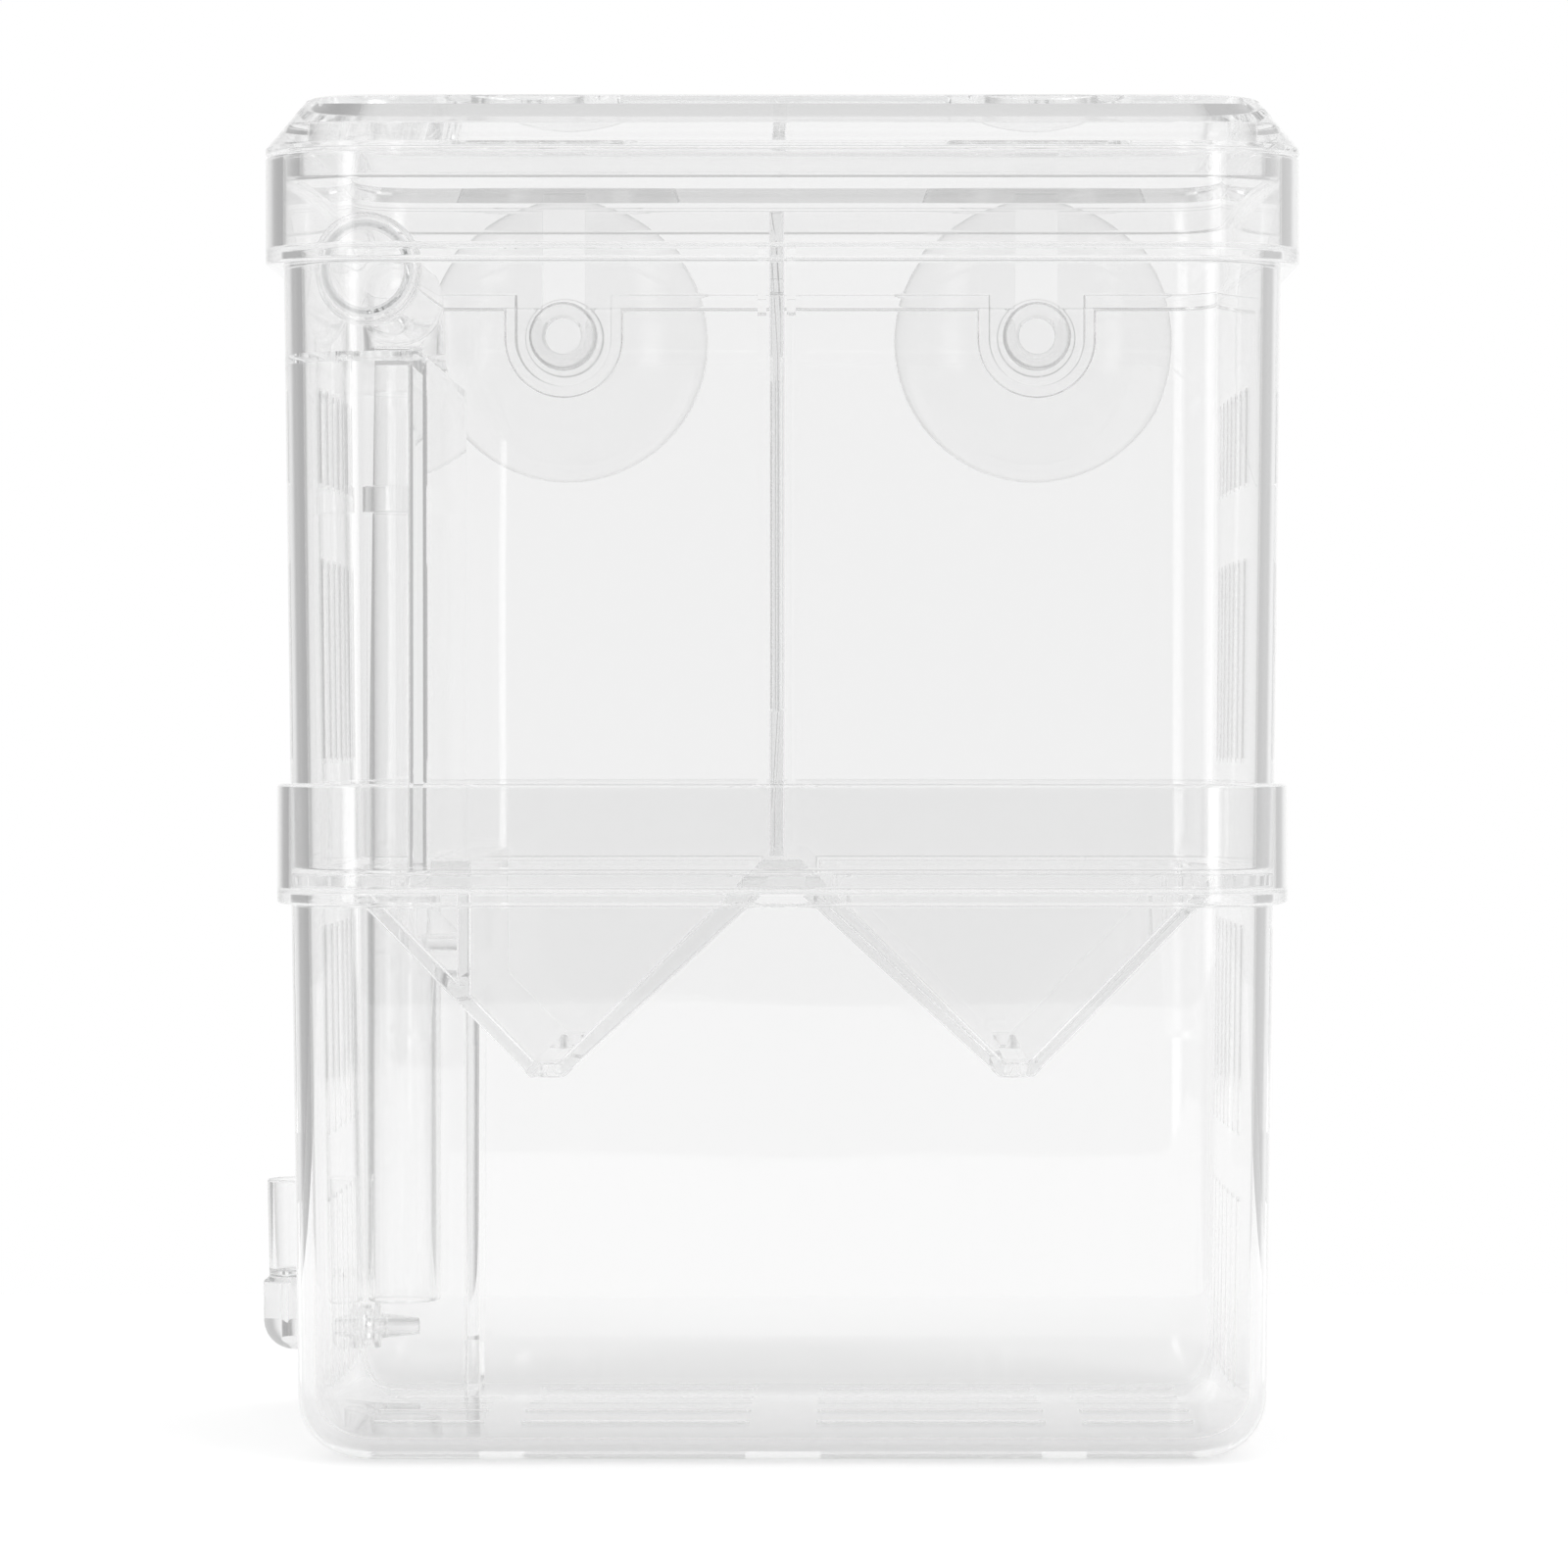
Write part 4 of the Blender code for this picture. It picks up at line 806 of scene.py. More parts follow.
def make_upper_box():
    """Bottomless tapering box with its collar, side channel, divider ribs and cup pockets."""
    foot_in = FOOT_INSET + WALL
    top_in = UPPER_COLLAR_STEP + WALL
    sections = softened(
        [
            (FOOT_INSET, UPPER_FOOT_Z, EDGE_ROUND),
            (UPPER_COLLAR_STEP, UPPER_FLANGE_Z, EDGE_ROUND),
            (0, UPPER_FLANGE_Z, RIM_ROUND),
            (0, RIM_Z, EDGE_ROUND),
            (WALL, RIM_Z, EDGE_ROUND),
            (WALL, UPPER_SHELF_Z, EDGE_ROUND),
            (top_in, UPPER_SHELF_Z, RIM_ROUND),
            (foot_in, UPPER_FOOT_Z, EDGE_ROUND),
        ]
    )
    box = solid("upper_box_clear", shell(sections, closed=True))

    mid_foot = FOOT_INSET + WALL / 2
    mid_top = UPPER_COLLAR_STEP + WALL / 2
    wall_left = CHANNEL_SLIM - CHANNEL_WALL_X - WALL
    wall_right = -CHANNEL_WALL_X - CHANNEL_SLIM
    partition = softened(
        [
            (wall_right, UPPER_FOOT_Z - OVERRUN, 0),
            (wall_right, CHANNEL_TOP_Z, RIM_ROUND),
            (-BOX_WIDTH / 2, CHANNEL_TOP_Z, 0),
            (-BOX_WIDTH / 2, CHANNEL_TOP_Z - CHANNEL_ROOF, 0),
            (wall_left, CHANNEL_TOP_Z - CHANNEL_ROOF, 2 * RIM_ROUND),
            (wall_left, UPPER_FOOT_Z - OVERRUN, 0),
        ]
    )
    channel = solid("channel", across(partition, -BOX_DEPTH / 2, BOX_DEPTH / 2))
    bounds = solid("upper_core", shell([(mid_foot, UPPER_FOOT_Z), (mid_top, UPPER_SHELF_Z)]))
    work(channel, bounds, "INTERSECT")
    work(box, channel, "UNION")
    fillet_channel(box)

    half_slot = DIVIDER_THICKNESS / 2 + SLIDE_GAP
    ribs = []
    for side in (-1, 1):
        inner = BOX_DEPTH / 2 - foot_in - GROOVE_RIB_DEPTH
        low, high = sorted((side * inner, side * BOX_DEPTH / 2))
        for edge in (-1, 1):
            near = -DIVIDER_OFFSET + edge * half_slot
            left, right = sorted((near, near + edge * GROOVE_RIB))
            ribs.append(block(left, right, low, high, DIVIDER_FOOT_Z, DIVIDER_TOP_Z))
    rib_piece = gather("ribs", ribs)
    rib_core = shell([(mid_foot, UPPER_FOOT_Z + SEAT_GAP / 2), (mid_top, UPPER_SHELF_Z - SEAT_GAP)])
    work(rib_piece, solid("rib_core", rib_core), "INTERSECT")
    work(box, rib_piece, "UNION")

    back = BOX_DEPTH / 2
    pocket_arc = CUP_Z - POCKET_BOTTOM_DROP + POCKET_WIDTH / 2
    pocket_front = back - UPPER_COLLAR_STEP - UPPER_DRAFT - WALL / 2
    recess_front = back - UPPER_COLLAR_STEP - UPPER_DRAFT - WALL - OVERRUN
    pocket = arch(POCKET_WIDTH, UPPER_FLANGE_Z + SEAT_GAP, pocket_arc)
    recess = arch(POCKET_RECESS_WIDTH, UPPER_SHELF_Z + OVERRUN, pocket_arc)
    keyhole = arch(KEYHOLE_WIDTH, RIM_Z + OVERRUN, CUP_Z)
    steps = (
        (pocket, pocket_front, back, "UNION"),
        (recess, recess_front, back - WALL, "DIFFERENCE"),
        (keyhole, recess_front - OVERRUN, back + OVERRUN, "DIFFERENCE"),
    )
    for outline, low, high, operation in steps:
        pair = []
        for side in (-1, 1):
            tool = across([(side * CUP_X + CUP_OFFSET + x, z) for x, z in outline], low, high)
            round_edges(tool, POCKET_ROUND, ROUND_SEGMENTS)
            pair.append(tool)
        work(box, gather("pocket_step", pair), operation)

    riser_hole = RISER_DIAMETER / 2 + SLIDE_GAP
    hole = turned(
        [(riser_hole, CHANNEL_TOP_Z - CHANNEL_CAP - OVERRUN), (riser_hole, CHANNEL_TOP_Z + OVERRUN)],
        Matrix.Translation((RISER_X, RISER_Y, 0)),
    )
    slot_top = CHANNEL_TOP_Z - CHANNEL_CAP - UPPER_SLOT_DROP
    bands = two_bands(LOWER_HEIGHT + UPPER_SLOT_RISE, slot_top, UPPER_SLOT_BRIDGE, UPPER_BAND_SHARE)
    slots = side_slots(bands, BOX_WIDTH / 2 - UPPER_COLLAR_STEP + OVERRUN)
    work(box, gather("upper_openings", [hole, *slots]), "DIFFERENCE")
    return box


def round_edges(shape, width, segments=EDGE_SEGMENTS):
    """Rounds every edge that turns sharply."""
    limit = math.radians(ROUNDED_EDGE_DEGREES)
    sharp = [edge for edge in shape.edges if edge.is_manifold and edge.calc_face_angle() > limit]
    bmesh.ops.bevel(
        shape,
        geom=sharp,
        offset=width,
        offset_type="OFFSET",
        segments=segments,
        profile=0.5,
        affect="EDGES",
        material=-1,
        clamp_overlap=True,
    )


def make_divider():
    """Lift-out partition with thin edges between its thicker end tabs."""
    half = BOX_DEPTH / 2 - FOOT_INSET - WALL - SLIDE_GAP
    slim = (DIVIDER_THICKNESS - DIVIDER_EDGE_THICKNESS) / 2
    inner = half - DIVIDER_EDGE_WIDTH
    low = DIVIDER_FOOT_Z + DIVIDER_TAB_HEIGHT
    high = DIVIDER_TOP_Z - DIVIDER_TAB_HEIGHT
    left = -DIVIDER_OFFSET - DIVIDER_THICKNESS / 2
    right = -DIVIDER_OFFSET + DIVIDER_THICKNESS / 2
    plate = solid("divider_clear", block(left, right, -half, half, DIVIDER_FOOT_Z, DIVIDER_TOP_Z))
    rebates = []
    for side in (-1, 1):
        low_y, high_y = sorted((side * inner, side * (half + OVERRUN)))
        rebates.append(block(left - OVERRUN, left + slim, low_y, high_y, low, high))
        rebates.append(block(right - slim, right + OVERRUN, low_y, high_y, low, high))
    work(plate, gather("rebates", rebates), "DIFFERENCE")
    shape = bmesh.new()
    shape.from_mesh(plate.data)
    round_edges(shape, EDGE_ROUND / 2)
    shape.to_mesh(plate.data)
    shape.free()
    return plate


def make_lid():
    """Chamfered lid with a lip inside the collar and two feed holes."""
    lip_out = WALL + SLIDE_GAP
    lip_in = lip_out + LID_LIP_WALL
    top_inset = LID_CHAMFER_WIDTH + LID_PLATE
    outside = softened(
        [
            (top_inset, LID_TOP_Z, 0),
            (LID_CHAMFER_WIDTH, LID_TOP_Z, RIM_ROUND),
            (0, LID_Z + LID_RIM, EDGE_ROUND / 2),
            (0, LID_Z, EDGE_ROUND / 2),
            (lip_out, LID_Z, 0),
            (lip_out, LID_Z - LID_LIP_DEPTH, RIM_ROUND),
            (lip_in, LID_Z - LID_LIP_DEPTH, RIM_ROUND),
            (lip_in, LID_Z + LID_RIM + LID_PLATE, EDGE_ROUND),
            (top_inset, LID_TOP_Z - LID_PLATE, 0),
        ],
        closed=False,
    )
    lid = solid("lid_clear", shell(outside))
    radius = FEED_HOLE_DIAMETER / 2
    soft = EDGE_ROUND
    low = LID_TOP_Z - LID_PLATE
    profile = [
        (radius + OVERRUN, low - OVERRUN),
        (radius + soft, low),
        (radius, low + soft),
        (radius, LID_TOP_Z - soft),
        (radius + soft, LID_TOP_Z),
        (radius + soft, LID_TOP_Z + OVERRUN),
    ]
    places = [Matrix.Translation((side * FEED_HOLE_X, 0, 0)) for side in (-1, 1)]
    holes = [turned(profile, place, CUP_SEGMENTS) for place in places]
    work(lid, gather("feed_holes", holes), "DIFFERENCE")
    return lid


def ring_profile(outer, inner, low, high, soft):
    """The closed (radius, along) section of a plain ring with rounded edges."""
    return softened([(outer, low, soft), (outer, high, soft), (inner, high, soft), (inner, low, soft)])


def make_riser():
    """Riser tube."""
    outer = RISER_DIAMETER / 2
    place = Matrix.Translation((RISER_X, RISER_Y, 0))
    profile = ring_profile(outer, outer - TUBE_WALL, RISER_FOOT_Z, RISER_TOP_Z, EDGE_ROUND)
    return solid("riser_tube_clear", turned(profile, place, closed=True))


def make_coupling():
    """Short sleeve on the riser."""
    inner = RISER_DIAMETER / 2 + SEAT_GAP
    place = Matrix.Translation((RISER_X, RISER_Y, 0))
    outer = inner + COUPLING_WALL
    profile = ring_profile(outer, inner, COUPLING_Z, COUPLING_Z + COUPLING_HEIGHT, EDGE_ROUND / 2)
    return solid("riser_coupling_clear", turned(profile, place, closed=True))


def make_outlet():
    """Elbow on top of the riser with its long level spout."""
    spout_outer = SPOUT_DIAMETER / 2
    spout_inner = spout_outer - TUBE_WALL
    socket_in = RISER_DIAMETER / 2 + SLIDE_GAP
    socket_out = socket_in + ELBOW_SOCKET_WALL
    up = (0, 0, 1)
    mouth_y = SPOUT_FRONT - BOX_DEPTH / 2
    soft = EDGE_ROUND
    bend = []
    for step in range(BEND_SEGMENTS + 1):
        angle = math.radians(90) * step / BEND_SEGMENTS
        y = RISER_Y - ELBOW_RADIUS * (1 - math.cos(angle))
        z = ELBOW_BEND_Z + ELBOW_RADIUS * math.sin(angle)
        bend.append(((RISER_X, y, z), (0, -math.sin(angle), math.cos(angle))))
    foot = CHANNEL_TOP_Z + SEAT_GAP
    level = (0, -1, 0)
    outside = [
        ((RISER_X, RISER_Y, foot), up, socket_out - soft / 2),
        ((RISER_X, RISER_Y, foot + soft / 2), up, socket_out),
        ((RISER_X, RISER_Y, ELBOW_SEAT_Z), up, socket_out),
        ((RISER_X, RISER_Y, ELBOW_SEAT_Z + TUBE_WALL), up, spout_outer),
        *((centre, direction, spout_outer) for centre, direction in bend),
        ((RISER_X, mouth_y + soft, SPOUT_Z), level, spout_outer),
        ((RISER_X, mouth_y, SPOUT_Z), level, spout_outer - soft),
    ]
    inside = [
        ((RISER_X, mouth_y, SPOUT_Z), level, spout_inner + soft),
        ((RISER_X, mouth_y + soft, SPOUT_Z), level, spout_inner),
        *((centre, direction, spout_inner) for centre, direction in reversed(bend)),
        ((RISER_X, RISER_Y, ELBOW_SEAT_Z + TUBE_WALL), up, spout_inner),
        ((RISER_X, RISER_Y, ELBOW_SEAT_Z), up, socket_in),
        ((RISER_X, RISER_Y, foot), up, socket_in),
    ]
    return solid("outlet_elbow_clear", bent_pipe(outside + inside))


def make_spout_ring():
    """Ring at the spout's mouth."""
    inner = SPOUT_DIAMETER / 2 + SEAT_GAP
    mouth_y = SPOUT_FRONT - BOX_DEPTH / 2
    low = -mouth_y - SPOUT_RING_LENGTH
    profile = ring_profile(SPOUT_RING_DIAMETER / 2, inner, low, -mouth_y, EDGE_ROUND)
    place = Matrix.Translation((RISER_X, 0, SPOUT_Z)) @ Matrix.Rotation(math.radians(90), 4, "X")
    return solid("spout_ring_clear", turned(profile, place, closed=True))


def make_air_elbow():
    """Swivelling hose elbow outside the left wall."""
    body = AIR_BODY_DIAMETER / 2
    bore = AIR_BORE / 2
    socket_bore = AIR_SOCKET_BORE / 2
    near_x = END_WALL_X - SEAT_GAP
    wall_in = END_WALL_X + LOWER_WALL
    across_place = Matrix.Translation((0, RISER_Y, AIR_Z)) @ ALONG_X
    up_place = Matrix.Translation((AIR_AXIS_X, RISER_Y, 0))
    base = AIR_Z - AIR_BODY_DROP
    socket_low = AIR_Z + AIR_SHOULDER_RISE
    socket_top = AIR_Z + AIR_SOCKET_TOP_RISE
    radius = AIR_SOCKET_DIAMETER / 2
    lip = radius + AIR_SOCKET_FLARE
    waist = socket_low - AIR_SHOULDER_RISE / 3
    foot = softened(
        [(bore, base, 0), (body, base, AIR_BODY_ROUND), (body, waist, 0)],
        closed=False,
        steps=CORNER_SEGMENTS,
    )
    upper = softened(
        [
            (body, waist, 0),
            (body, socket_low - RIM_ROUND, RIM_ROUND / 2),
            (radius, socket_low, EDGE_ROUND),
            (lip, socket_top, EDGE_ROUND),
            (lip - AIR_SOCKET_WALL, socket_top, EDGE_ROUND),
            (radius - AIR_SOCKET_WALL, socket_low + AIR_SOCKET_WALL, EDGE_ROUND),
            (socket_bore - EDGE_ROUND, socket_low + AIR_SOCKET_WALL, 0),
        ],
        closed=False,
    )
    elbow = solid("air_elbow_clear", turned(foot[:-1] + upper, up_place))
    neck = AIR_NECK_DIAMETER / 2
    pin = AIR_PIN_DIAMETER / 2
    swivel = [
        (neck, AIR_AXIS_X),
        (neck, near_x),
        (pin, near_x),
        (pin, wall_in - EDGE_ROUND),
        (pin - EDGE_ROUND, wall_in),
    ]
    work(elbow, solid("swivel", turned(swivel, across_place)), "UNION")
    across_bore = turned([(bore, AIR_AXIS_X), (bore, wall_in + OVERRUN)], across_place)
    work(elbow, solid("across_bore", across_bore), "DIFFERENCE")
    upright_bore = turned([(socket_bore, AIR_Z - bore), (socket_bore, socket_top)], up_place)
    work(elbow, solid("upright_bore", upright_bore), "DIFFERENCE")
    return elbow


def make_air_jet():
    """Nozzle inside the wall that blows air under the riser's foot."""
    bore = AIR_BORE / 2
    start = END_WALL_X + LOWER_WALL + SEAT_GAP
    shoulder = start + AIR_BOSS_LENGTH
    pin = AIR_PIN_DIAMETER / 2
    head = AIR_BOSS_DIAMETER / 2
    tip_x = RISER_X + AIR_JET_OVERLAP
    profile = softened(
        [
            (bore, start, 0),
            (pin, start, 0),
            (pin, shoulder, 0),
            (head, shoulder, EDGE_ROUND),
            (head, shoulder + AIR_BOSS_LENGTH, EDGE_ROUND),
            (AIR_NOZZLE_DIAMETER / 2, shoulder + AIR_BOSS_LENGTH, EDGE_ROUND),
            (bore + AIR_TIP_WALL, tip_x, AIR_TIP_WALL / 3),
            (bore, tip_x, AIR_TIP_WALL / 3),
        ]
    )
    place = Matrix.Translation((0, RISER_Y, AIR_Z)) @ ALONG_X
    return solid("air_jet_clear", turned(profile, place, closed=True))


def make_cup(name, side):
    """Soft suction cup: mushroom head, neck and hollow dish."""
    radius = CUP_DIAMETER / 2
    start = BOX_DEPTH / 2 + SEAT_GAP
    head_back = BOX_DEPTH / 2 - WALL - SEAT_GAP
    head_front = head_back - CUP_HEAD_LENGTH
    head = CUP_HEAD_DIAMETER / 2
    stem = CUP_STEM_DIAMETER / 2
    neck = CUP_NECK_DIAMETER / 2
    steps = 2 * CORNER_SEGMENTS
    outside = []
    inside = []
    for step in range(1, steps + 1):
        angle = math.radians(90) * step / steps
        along = start + CUP_SKIN + (CUP_DEPTH - RIM_ROUND - CUP_SKIN) * (1 - math.cos(angle))
        outside.append((stem + (radius - stem) * math.sin(angle), along))
    for step in reversed(range(1, steps + 1)):
        angle = math.radians(90) * step / steps
        along = start + CUP_SKIN * 2 + (CUP_DEPTH - CUP_SKIN * 2) * (1 - math.cos(angle))
        inside.append(((radius - CUP_SKIN / 2) * math.sin(angle), along))
    groove = head * CUP_GROOVE_SHARE
    front = softened(
        [
            (head * CUP_CENTRE_SHARE, head_front + EDGE_ROUND, 0),
            (groove - EDGE_ROUND, head_front + EDGE_ROUND, EDGE_ROUND / 2),
            (groove, head_front, EDGE_ROUND / 2),
            (head, head_front, 2 * RIM_ROUND),
            (head, head_back, EDGE_ROUND),
            (neck, head_back, EDGE_ROUND),
            (neck, start, 0),
            (stem, start, RIM_ROUND),
            (stem, start + CUP_SKIN, 0),
        ],
        closed=False,
    )
    profile = [*front, *outside, (radius, start + CUP_DEPTH), *inside]
    centre = (side * CUP_X + CUP_OFFSET, 0, CUP_Z)
    place = Matrix.Translation(centre) @ Matrix.Rotation(math.radians(-90), 4, "X")
    return solid(name, turned(profile, place, CUP_SEGMENTS))


def new_group(name, inputs, outputs):
    """An empty shader group with the given (name, default) inputs and named outputs."""
    group = bpy.data.node_groups.new(name, "ShaderNodeTree")
    for title, value in inputs:
        socket = group.interface.new_socket(title, in_out="INPUT", socket_type="NodeSocketFloat")
        socket.default_value = value
    for title in outputs:
        group.interface.new_socket(title, in_out="OUTPUT", socket_type="NodeSocketFloat")
    group.interface.new_socket("Place", in_out="INPUT", socket_type="NodeSocketVector")
    return group


def add_node(tree, kind, settings=(), links=()):
    """A node with its named settings, linked from (input name or number, output socket) pairs."""
    node = tree.nodes.new(kind)
    for key, value in dict(settings).items():
        if key in node.bl_rna.properties:
            setattr(node, key, value)
        else:
            node.inputs[key].default_value = value
    for target, source in links:
        tree.links.new(source, node.inputs[target])
    return node


def maths(tree, operation, *terms):
    """The output of one Math node that takes output sockets or plain numbers."""
    node = tree.nodes.new("ShaderNodeMath")
    node.operation = operation
    for index, term in enumerate(terms):
        if isinstance(term, (int, float)):
            node.inputs[index].default_value = term
        else:
            tree.links.new(term, node.inputs[index])
    return node.outputs[0]


def moulding_marks():
    """Shader group for moulded clear plastic: slow ripple, fine scuffs and specks."""
    group = new_group(
        "moulding_marks",
        (("Polish", 0.02), ("Scuffing", 0.06), ("Ripple", 1.0)),
        ("Roughness", "Height"),
    )
    given = group.nodes.new("NodeGroupInput")
    put = group.nodes.new("NodeGroupOutput")
    place = given.outputs["Place"]

    def noise(settings, source):
        """A noise pattern on the given place."""
        return add_node(group, "ShaderNodeTexNoise", settings, [("Vector", source)]).outputs["Fac"]

    def mask(value, none, full):
        """A mask that is 0 where the value is none, and 1 where it is full."""
        settings = {"From Min": none, "From Max": full}
        return add_node(group, "ShaderNodeMapRange", settings, [("Value", value)]).outputs[0]

    ripple = noise({"Scale": 34, "Detail": 1, "Roughness": 0.4}, place)
    stretched = add_node(group, "ShaderNodeMapping", {"Scale": (900, 900, 60)}, [("Vector", place)])
    drag = noise({"Scale": 1, "Detail": 3, "Roughness": 0.6}, stretched.outputs[0])
    patches = noise({"Scale": 120, "Detail": 4}, place)
    specks = add_node(group, "ShaderNodeTexVoronoi", {"Scale": 260}, [("Vector", place)])
    worn = mask(patches, none=0.58, full=0.75)
    dust = mask(specks.outputs["Distance"], none=0.05, full=0.02)
    scuffs = maths(group, "MULTIPLY", worn, drag)
    marked = maths(group, "MAXIMUM", scuffs, dust)
    rough = maths(group, "MULTIPLY_ADD", marked, given.outputs["Scuffing"], given.outputs["Polish"])
    height = maths(group, "MULTIPLY", ripple, given.outputs["Ripple"])
    group.links.new(rough, put.inputs["Roughness"])
    group.links.new(height, put.inputs["Height"])
    return group


# Rays still running inside the walls near the last bounce get a painted glow from the plastic, standing in
# for the daylight they would reach
MOST_BOUNCES = 18
TRAPPED_DEPTH = 14.5
PAINTED_DEEP_RAY_GLOW = 0.20
BUMP_DEPTH = 0.0001


def clear_material(name, marks, tint, ior, polish, scuffing, ripple, absorb):
    """A see-through plastic: refracting surface with moulding marks, a body that absorbs, and a painted glow
    on deep rays.
    """
    mat = bpy.data.materials.new(name)
    mat.use_nodes = True
    tree = mat.node_tree
    shader = tree.nodes["Principled BSDF"]
    shader.inputs["Base Color"].default_value = (tint, tint, tint, 1)
    shader.inputs["Transmission Weight"].default_value = 1
    shader.inputs["IOR"].default_value = ior
    place = add_node(tree, "ShaderNodeTexCoord")
    effect = add_node(tree, "ShaderNodeGroup", {"node_tree": marks}, [("Place", place.outputs["Object"])])
    effect.inputs["Polish"].default_value = polish
    effect.inputs["Scuffing"].default_value = scuffing
    effect.inputs["Ripple"].default_value = ripple
    bump = add_node(
        tree,
        "ShaderNodeBump",
        {"Strength": 1, "Distance": BUMP_DEPTH},
        [("Height", effect.outputs["Height"])],
    )
    tree.links.new(effect.outputs["Roughness"], shader.inputs["Roughness"])
    tree.links.new(bump.outputs["Normal"], shader.inputs["Normal"])
    # Painted glow: the plastic itself emits white on rays deeper than the trapped depth, in place of light
    # from further bounces
    shader.inputs["Emission Color"].default_value = (1, 1, 1, 1)
    ray = add_node(tree, "ShaderNodeLightPath")
    trapped = maths(tree, "GREATER_THAN", ray.outputs["Ray Depth"], TRAPPED_DEPTH)
    glow = maths(tree, "MULTIPLY", trapped, PAINTED_DEEP_RAY_GLOW)
    tree.links.new(glow, shader.inputs["Emission Strength"])
    body = add_node(tree, "ShaderNodeVolumeAbsorption", {"Color": (0.0, 0.02, 0.02, 1), "Density": absorb})
    tree.links.new(body.outputs[0], tree.nodes["Material Output"].inputs["Volume"])
    return mat


def dress(piece, material, body, node):
    """Gives a piece its finish, its shading and its place in the assembly."""
    mesh = piece.data
    mesh.materials.clear()
    mesh.materials.append(material)
    mesh.shade_smooth()
    mesh.set_sharp_from_angle(angle=math.radians(SHADED_EDGE_DEGREES))
    step = piece.modifiers.new("even_shading", "WEIGHTED_NORMAL")
    step.keep_sharp = True
    step.weight = 80
    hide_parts(node)
    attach(piece, body)


def make_pieces():
    """Every piece of the box, with its finish."""
    marks = moulding_marks()
    wall = clear_material(
        "clear_polystyrene", marks, tint=0.98, ior=1.57, polish=0.015, scuffing=0.08, ripple=0.3, absorb=1.5
    )
    tube = clear_material(
        "clear_tube", marks, tint=0.99, ior=1.57, polish=0.02, scuffing=0.08, ripple=0.3, absorb=5
    )
    fitting = clear_material(
        "clear_fitting", marks, tint=0.98, ior=1.52, polish=0.05, scuffing=0.12, ripple=1.0, absorb=12
    )
    soft = clear_material(
        "soft_clear_pvc", marks, tint=0.985, ior=1.50, polish=0.12, scuffing=0.10, ripple=2.0, absorb=8
    )
    dress(make_lower_box(), wall, "lower", "lower_box")
    dress(make_hopper_tray(), wall, "tray", "hopper_tray")
    dress(make_upper_box(), wall, "upper", "upper_box")
    dress(make_divider(), wall, "divider", "divider")
    dress(make_lid(), wall, "lid", "lid")
    dress(make_riser(), tube, "upper", "riser_tube")
    dress(make_coupling(), tube, "upper", "riser_coupling")
    dress(make_outlet(), tube, "spout", "outlet_elbow")
    dress(make_spout_ring(), tube, "spout", "spout_ring")
    dress(make_air_elbow(), fitting, "air_inlet", "air_elbow")
    dress(make_air_jet(), fitting, "air_inlet", "air_jet")
    dress(make_cup("cup_left_soft", -1), soft, "cup_left", "suction_cup_left")
    dress(make_cup("cup_right_soft", 1), soft, "cup_right", "suction_cup_right")


# Table
TABLE_WIDTH = 0.9
TABLE_FRONT = -0.7
TABLE_BACK = 0.164
TABLE_DROP = 0.0002
TABLE_COLOUR = 0.80
TABLE_ROUGHNESS = 0.9
TABLE_GLOW_SEEN = 0.66
TABLE_GLOW_THROUGH = 0.52


def make_table():
    """Pale table that keeps the box's shadow and ends behind it."""
    shape = bmesh.new()
    bmesh.ops.create_grid(shape, x_segments=1, y_segments=1, size=1)
    half_depth = (TABLE_BACK - TABLE_FRONT) / 2
    bmesh.ops.scale(shape, vec=(TABLE_WIDTH, half_depth, 1), verts=shape.verts)
    bmesh.ops.translate(shape, vec=(0, TABLE_FRONT + half_depth, -TABLE_DROP), verts=shape.verts)
    table = solid("table", shape)
    mat = bpy.data.materials.new("white_table")
    mat.use_nodes = True
    tree = mat.node_tree
    shader = tree.nodes["Principled BSDF"]
    shader.inputs["Base Color"].default_value = (TABLE_COLOUR, TABLE_COLOUR, TABLE_COLOUR, 1)
    shader.inputs["Roughness"].default_value = TABLE_ROUGHNESS
    shader.inputs["Specular IOR Level"].default_value = 0
    ray = add_node(tree, "ShaderNodeLightPath").outputs
    seen = maths(tree, "MULTIPLY", ray["Is Camera Ray"], TABLE_GLOW_SEEN)
    through = maths(tree, "MAXIMUM", ray["Is Transmission Ray"], ray["Is Glossy Ray"])
    glow = maths(tree, "MULTIPLY_ADD", through, TABLE_GLOW_THROUGH, seen)
    shader.inputs["Emission Color"].default_value = (1, 1, 1, 1)
    tree.links.new(glow, shader.inputs["Emission Strength"])
    table.data.materials.append(mat)


# Surround: the span of each change along X, Y or Z of the ray's direction, and the level it ends at
ABOVE_SPAN = (0.35, 0.80)
ABOVE_LEVEL = 0.90
BEHIND_SPAN = (0.80, 0.95)
BESIDE_LEVEL = 0.60
LEFT_SPAN = (-0.10, -0.60)
LEFT_LEVEL = 0.75
FRONT_SPAN = (-0.20, -0.60)
FRONT_LEVEL = 0.85
STRIP_INNER_SPAN = (0.40, 0.46)
STRIP_OUTER_SPAN = (0.66, 0.60)
STRIP_FRONT_SPAN = (-0.3, -0.5)
STRIP_LEVEL = 1.6


def fade(tree, value, span, low=0.0, high=1.0):
    """A smooth step of a value, from low at the span's start to high at its end."""
    settings = {
        "interpolation_type": "SMOOTHSTEP",
        "From Min": span[0],
        "From Max": span[1],
        "To Min": low,
        "To Max": high,
    }
    return add_node(tree, "ShaderNodeMapRange", settings, [("Value", value)]).outputs[0]


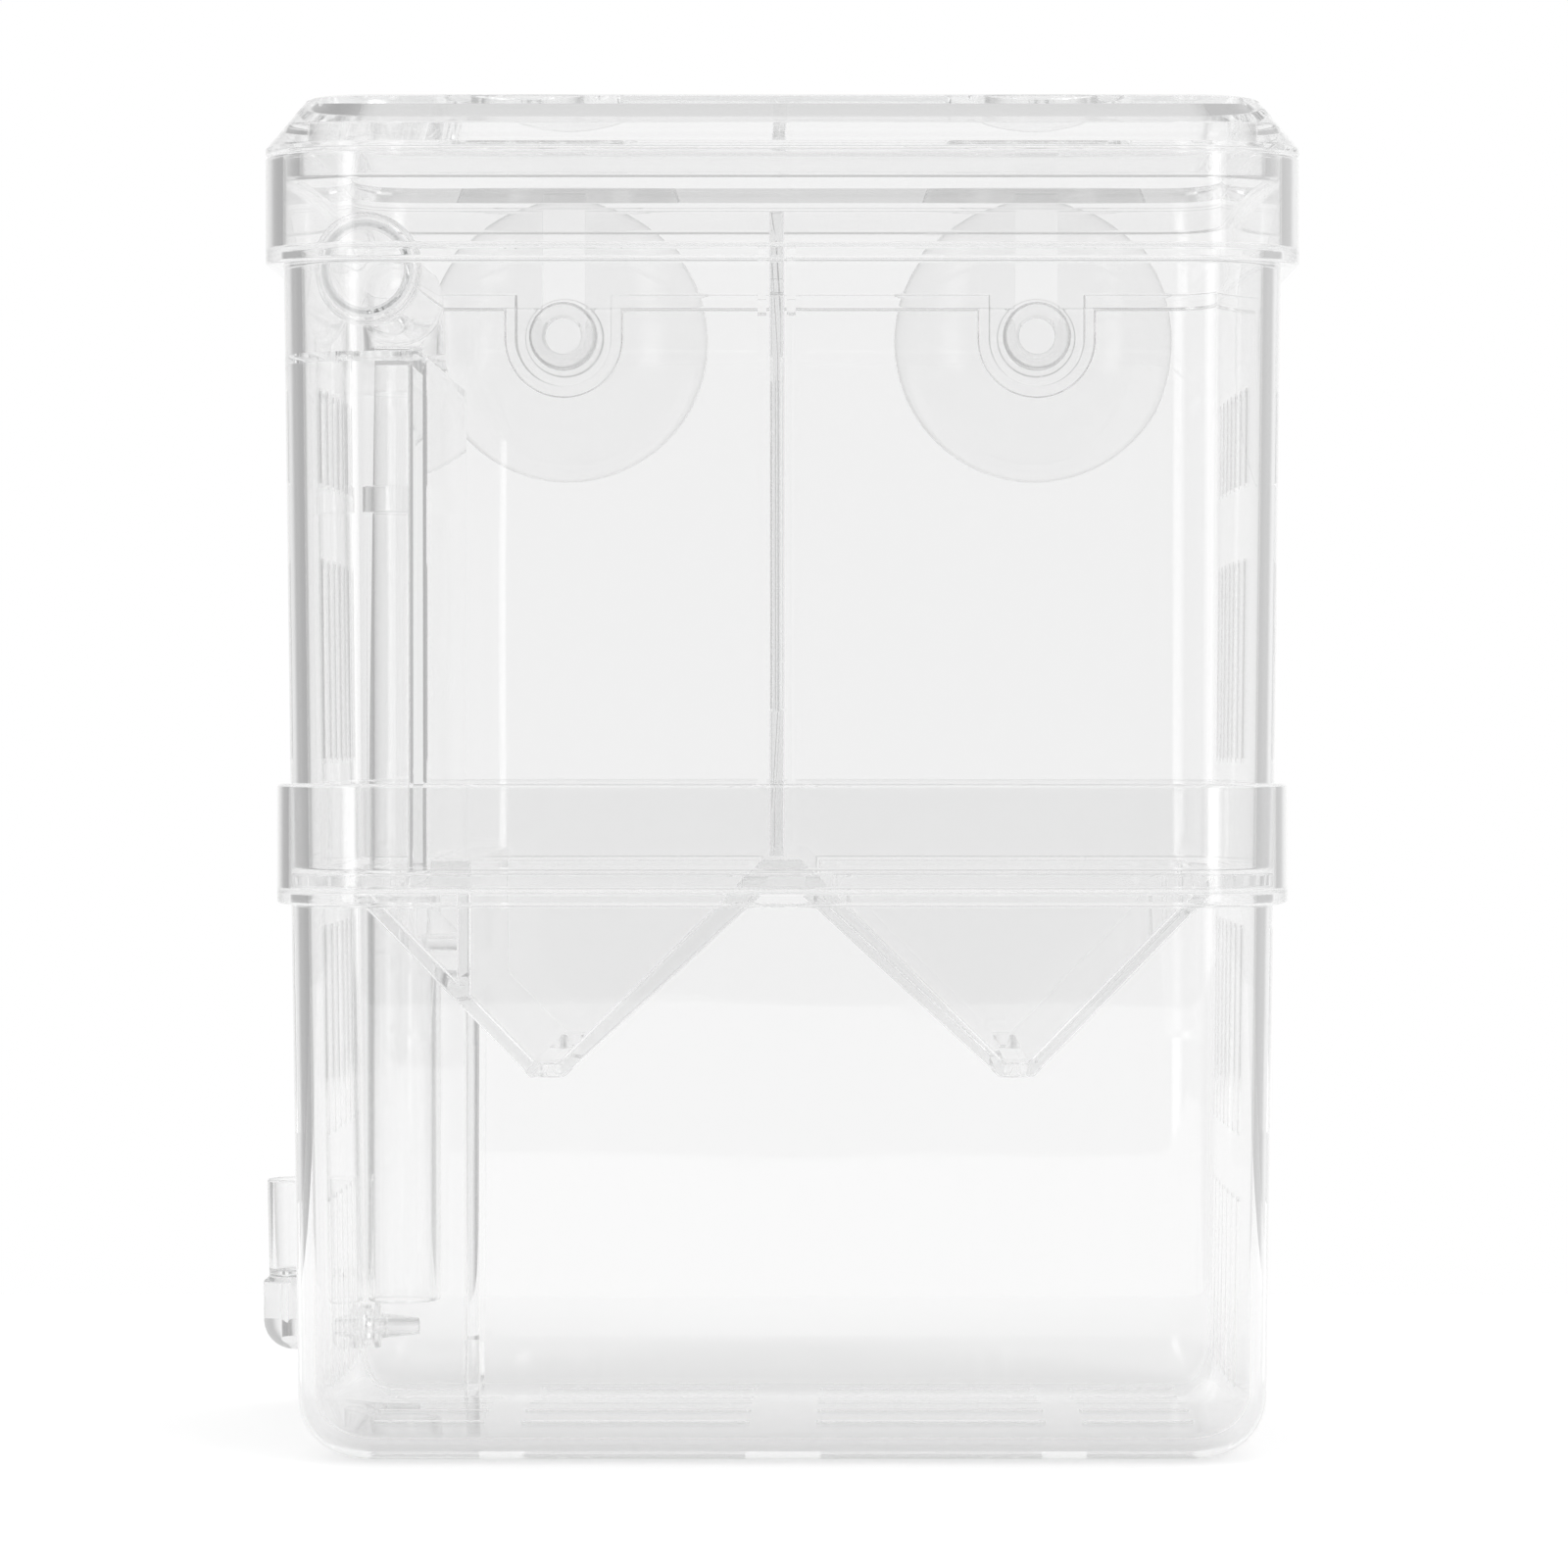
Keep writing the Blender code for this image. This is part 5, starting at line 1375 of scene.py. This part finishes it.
def make_light():
    """White surround: brightest straight behind, softer elsewhere, with two strip lamps in front."""
    world = bpy.data.worlds.new("surround")
    bpy.context.scene.world = world
    world.use_nodes = True
    tree = world.node_tree
    tree.nodes.clear()
    way = add_node(tree, "ShaderNodeTexCoord")
    x, y, z = add_node(tree, "ShaderNodeSeparateXYZ", {}, [(0, way.outputs["Generated"])]).outputs
    above = fade(tree, z, ABOVE_SPAN, 1.0, ABOVE_LEVEL)
    behind = fade(tree, y, BEHIND_SPAN, BESIDE_LEVEL, 1.0)
    left = fade(tree, x, LEFT_SPAN, 1.0, LEFT_LEVEL)
    front = fade(tree, y, FRONT_SPAN, 1.0, FRONT_LEVEL)
    width = maths(tree, "ABSOLUTE", x)
    strip = maths(tree, "MULTIPLY", fade(tree, width, STRIP_INNER_SPAN), fade(tree, width, STRIP_OUTER_SPAN))
    lamps = maths(tree, "MULTIPLY", strip, fade(tree, y, STRIP_FRONT_SPAN))
    around = maths(tree, "MULTIPLY", above, maths(tree, "MULTIPLY", left, behind))
    toned = maths(tree, "MULTIPLY", around, front)
    lit = maths(tree, "MULTIPLY_ADD", lamps, STRIP_LEVEL, toned)
    studio = add_node(tree, "ShaderNodeBackground", {"Color": (1, 1, 1, 1)}, [("Strength", lit)])
    plain = add_node(tree, "ShaderNodeBackground", {"Color": (1, 1, 1, 1), "Strength": 1})
    ray = add_node(tree, "ShaderNodeLightPath")
    pick = add_node(
        tree,
        "ShaderNodeMixShader",
        {},
        [(0, ray.outputs["Is Camera Ray"]), (1, studio.outputs[0]), (2, plain.outputs[0])],
    )
    out = add_node(tree, "ShaderNodeOutputWorld", {}, [(0, pick.outputs[0])])
    out.is_active_output = True


# Camera
LENS = 145.6
SENSOR_WIDTH = 36
SHIFT_X = -0.05
SHIFT_Y = -0.03125
NEAREST_SEEN = 0.01
CAMERA_PLACE = (0.0083, -0.687, 0.075)


def make_camera():
    """The photograph's view, level and a little right of the middle."""
    lens = bpy.data.cameras.new("camera")
    lens.lens = LENS
    lens.sensor_width = SENSOR_WIDTH
    lens.shift_x = SHIFT_X
    lens.shift_y = SHIFT_Y
    lens.clip_start = NEAREST_SEEN
    camera = bpy.data.objects.new("camera", lens)
    camera.location = CAMERA_PLACE
    camera.rotation_euler = (math.radians(90), 0, 0)
    bpy.context.collection.objects.link(camera)
    bpy.context.scene.camera = camera


def main():
    scene = bpy.context.scene
    scene.view_settings.view_transform = "Standard"
    scene.cycles.max_bounces = MOST_BOUNCES
    scene.cycles.transmission_bounces = MOST_BOUNCES
    scene.cycles.glossy_bounces = MOST_BOUNCES
    make_pieces()
    make_table()
    make_light()
    make_camera()


main()
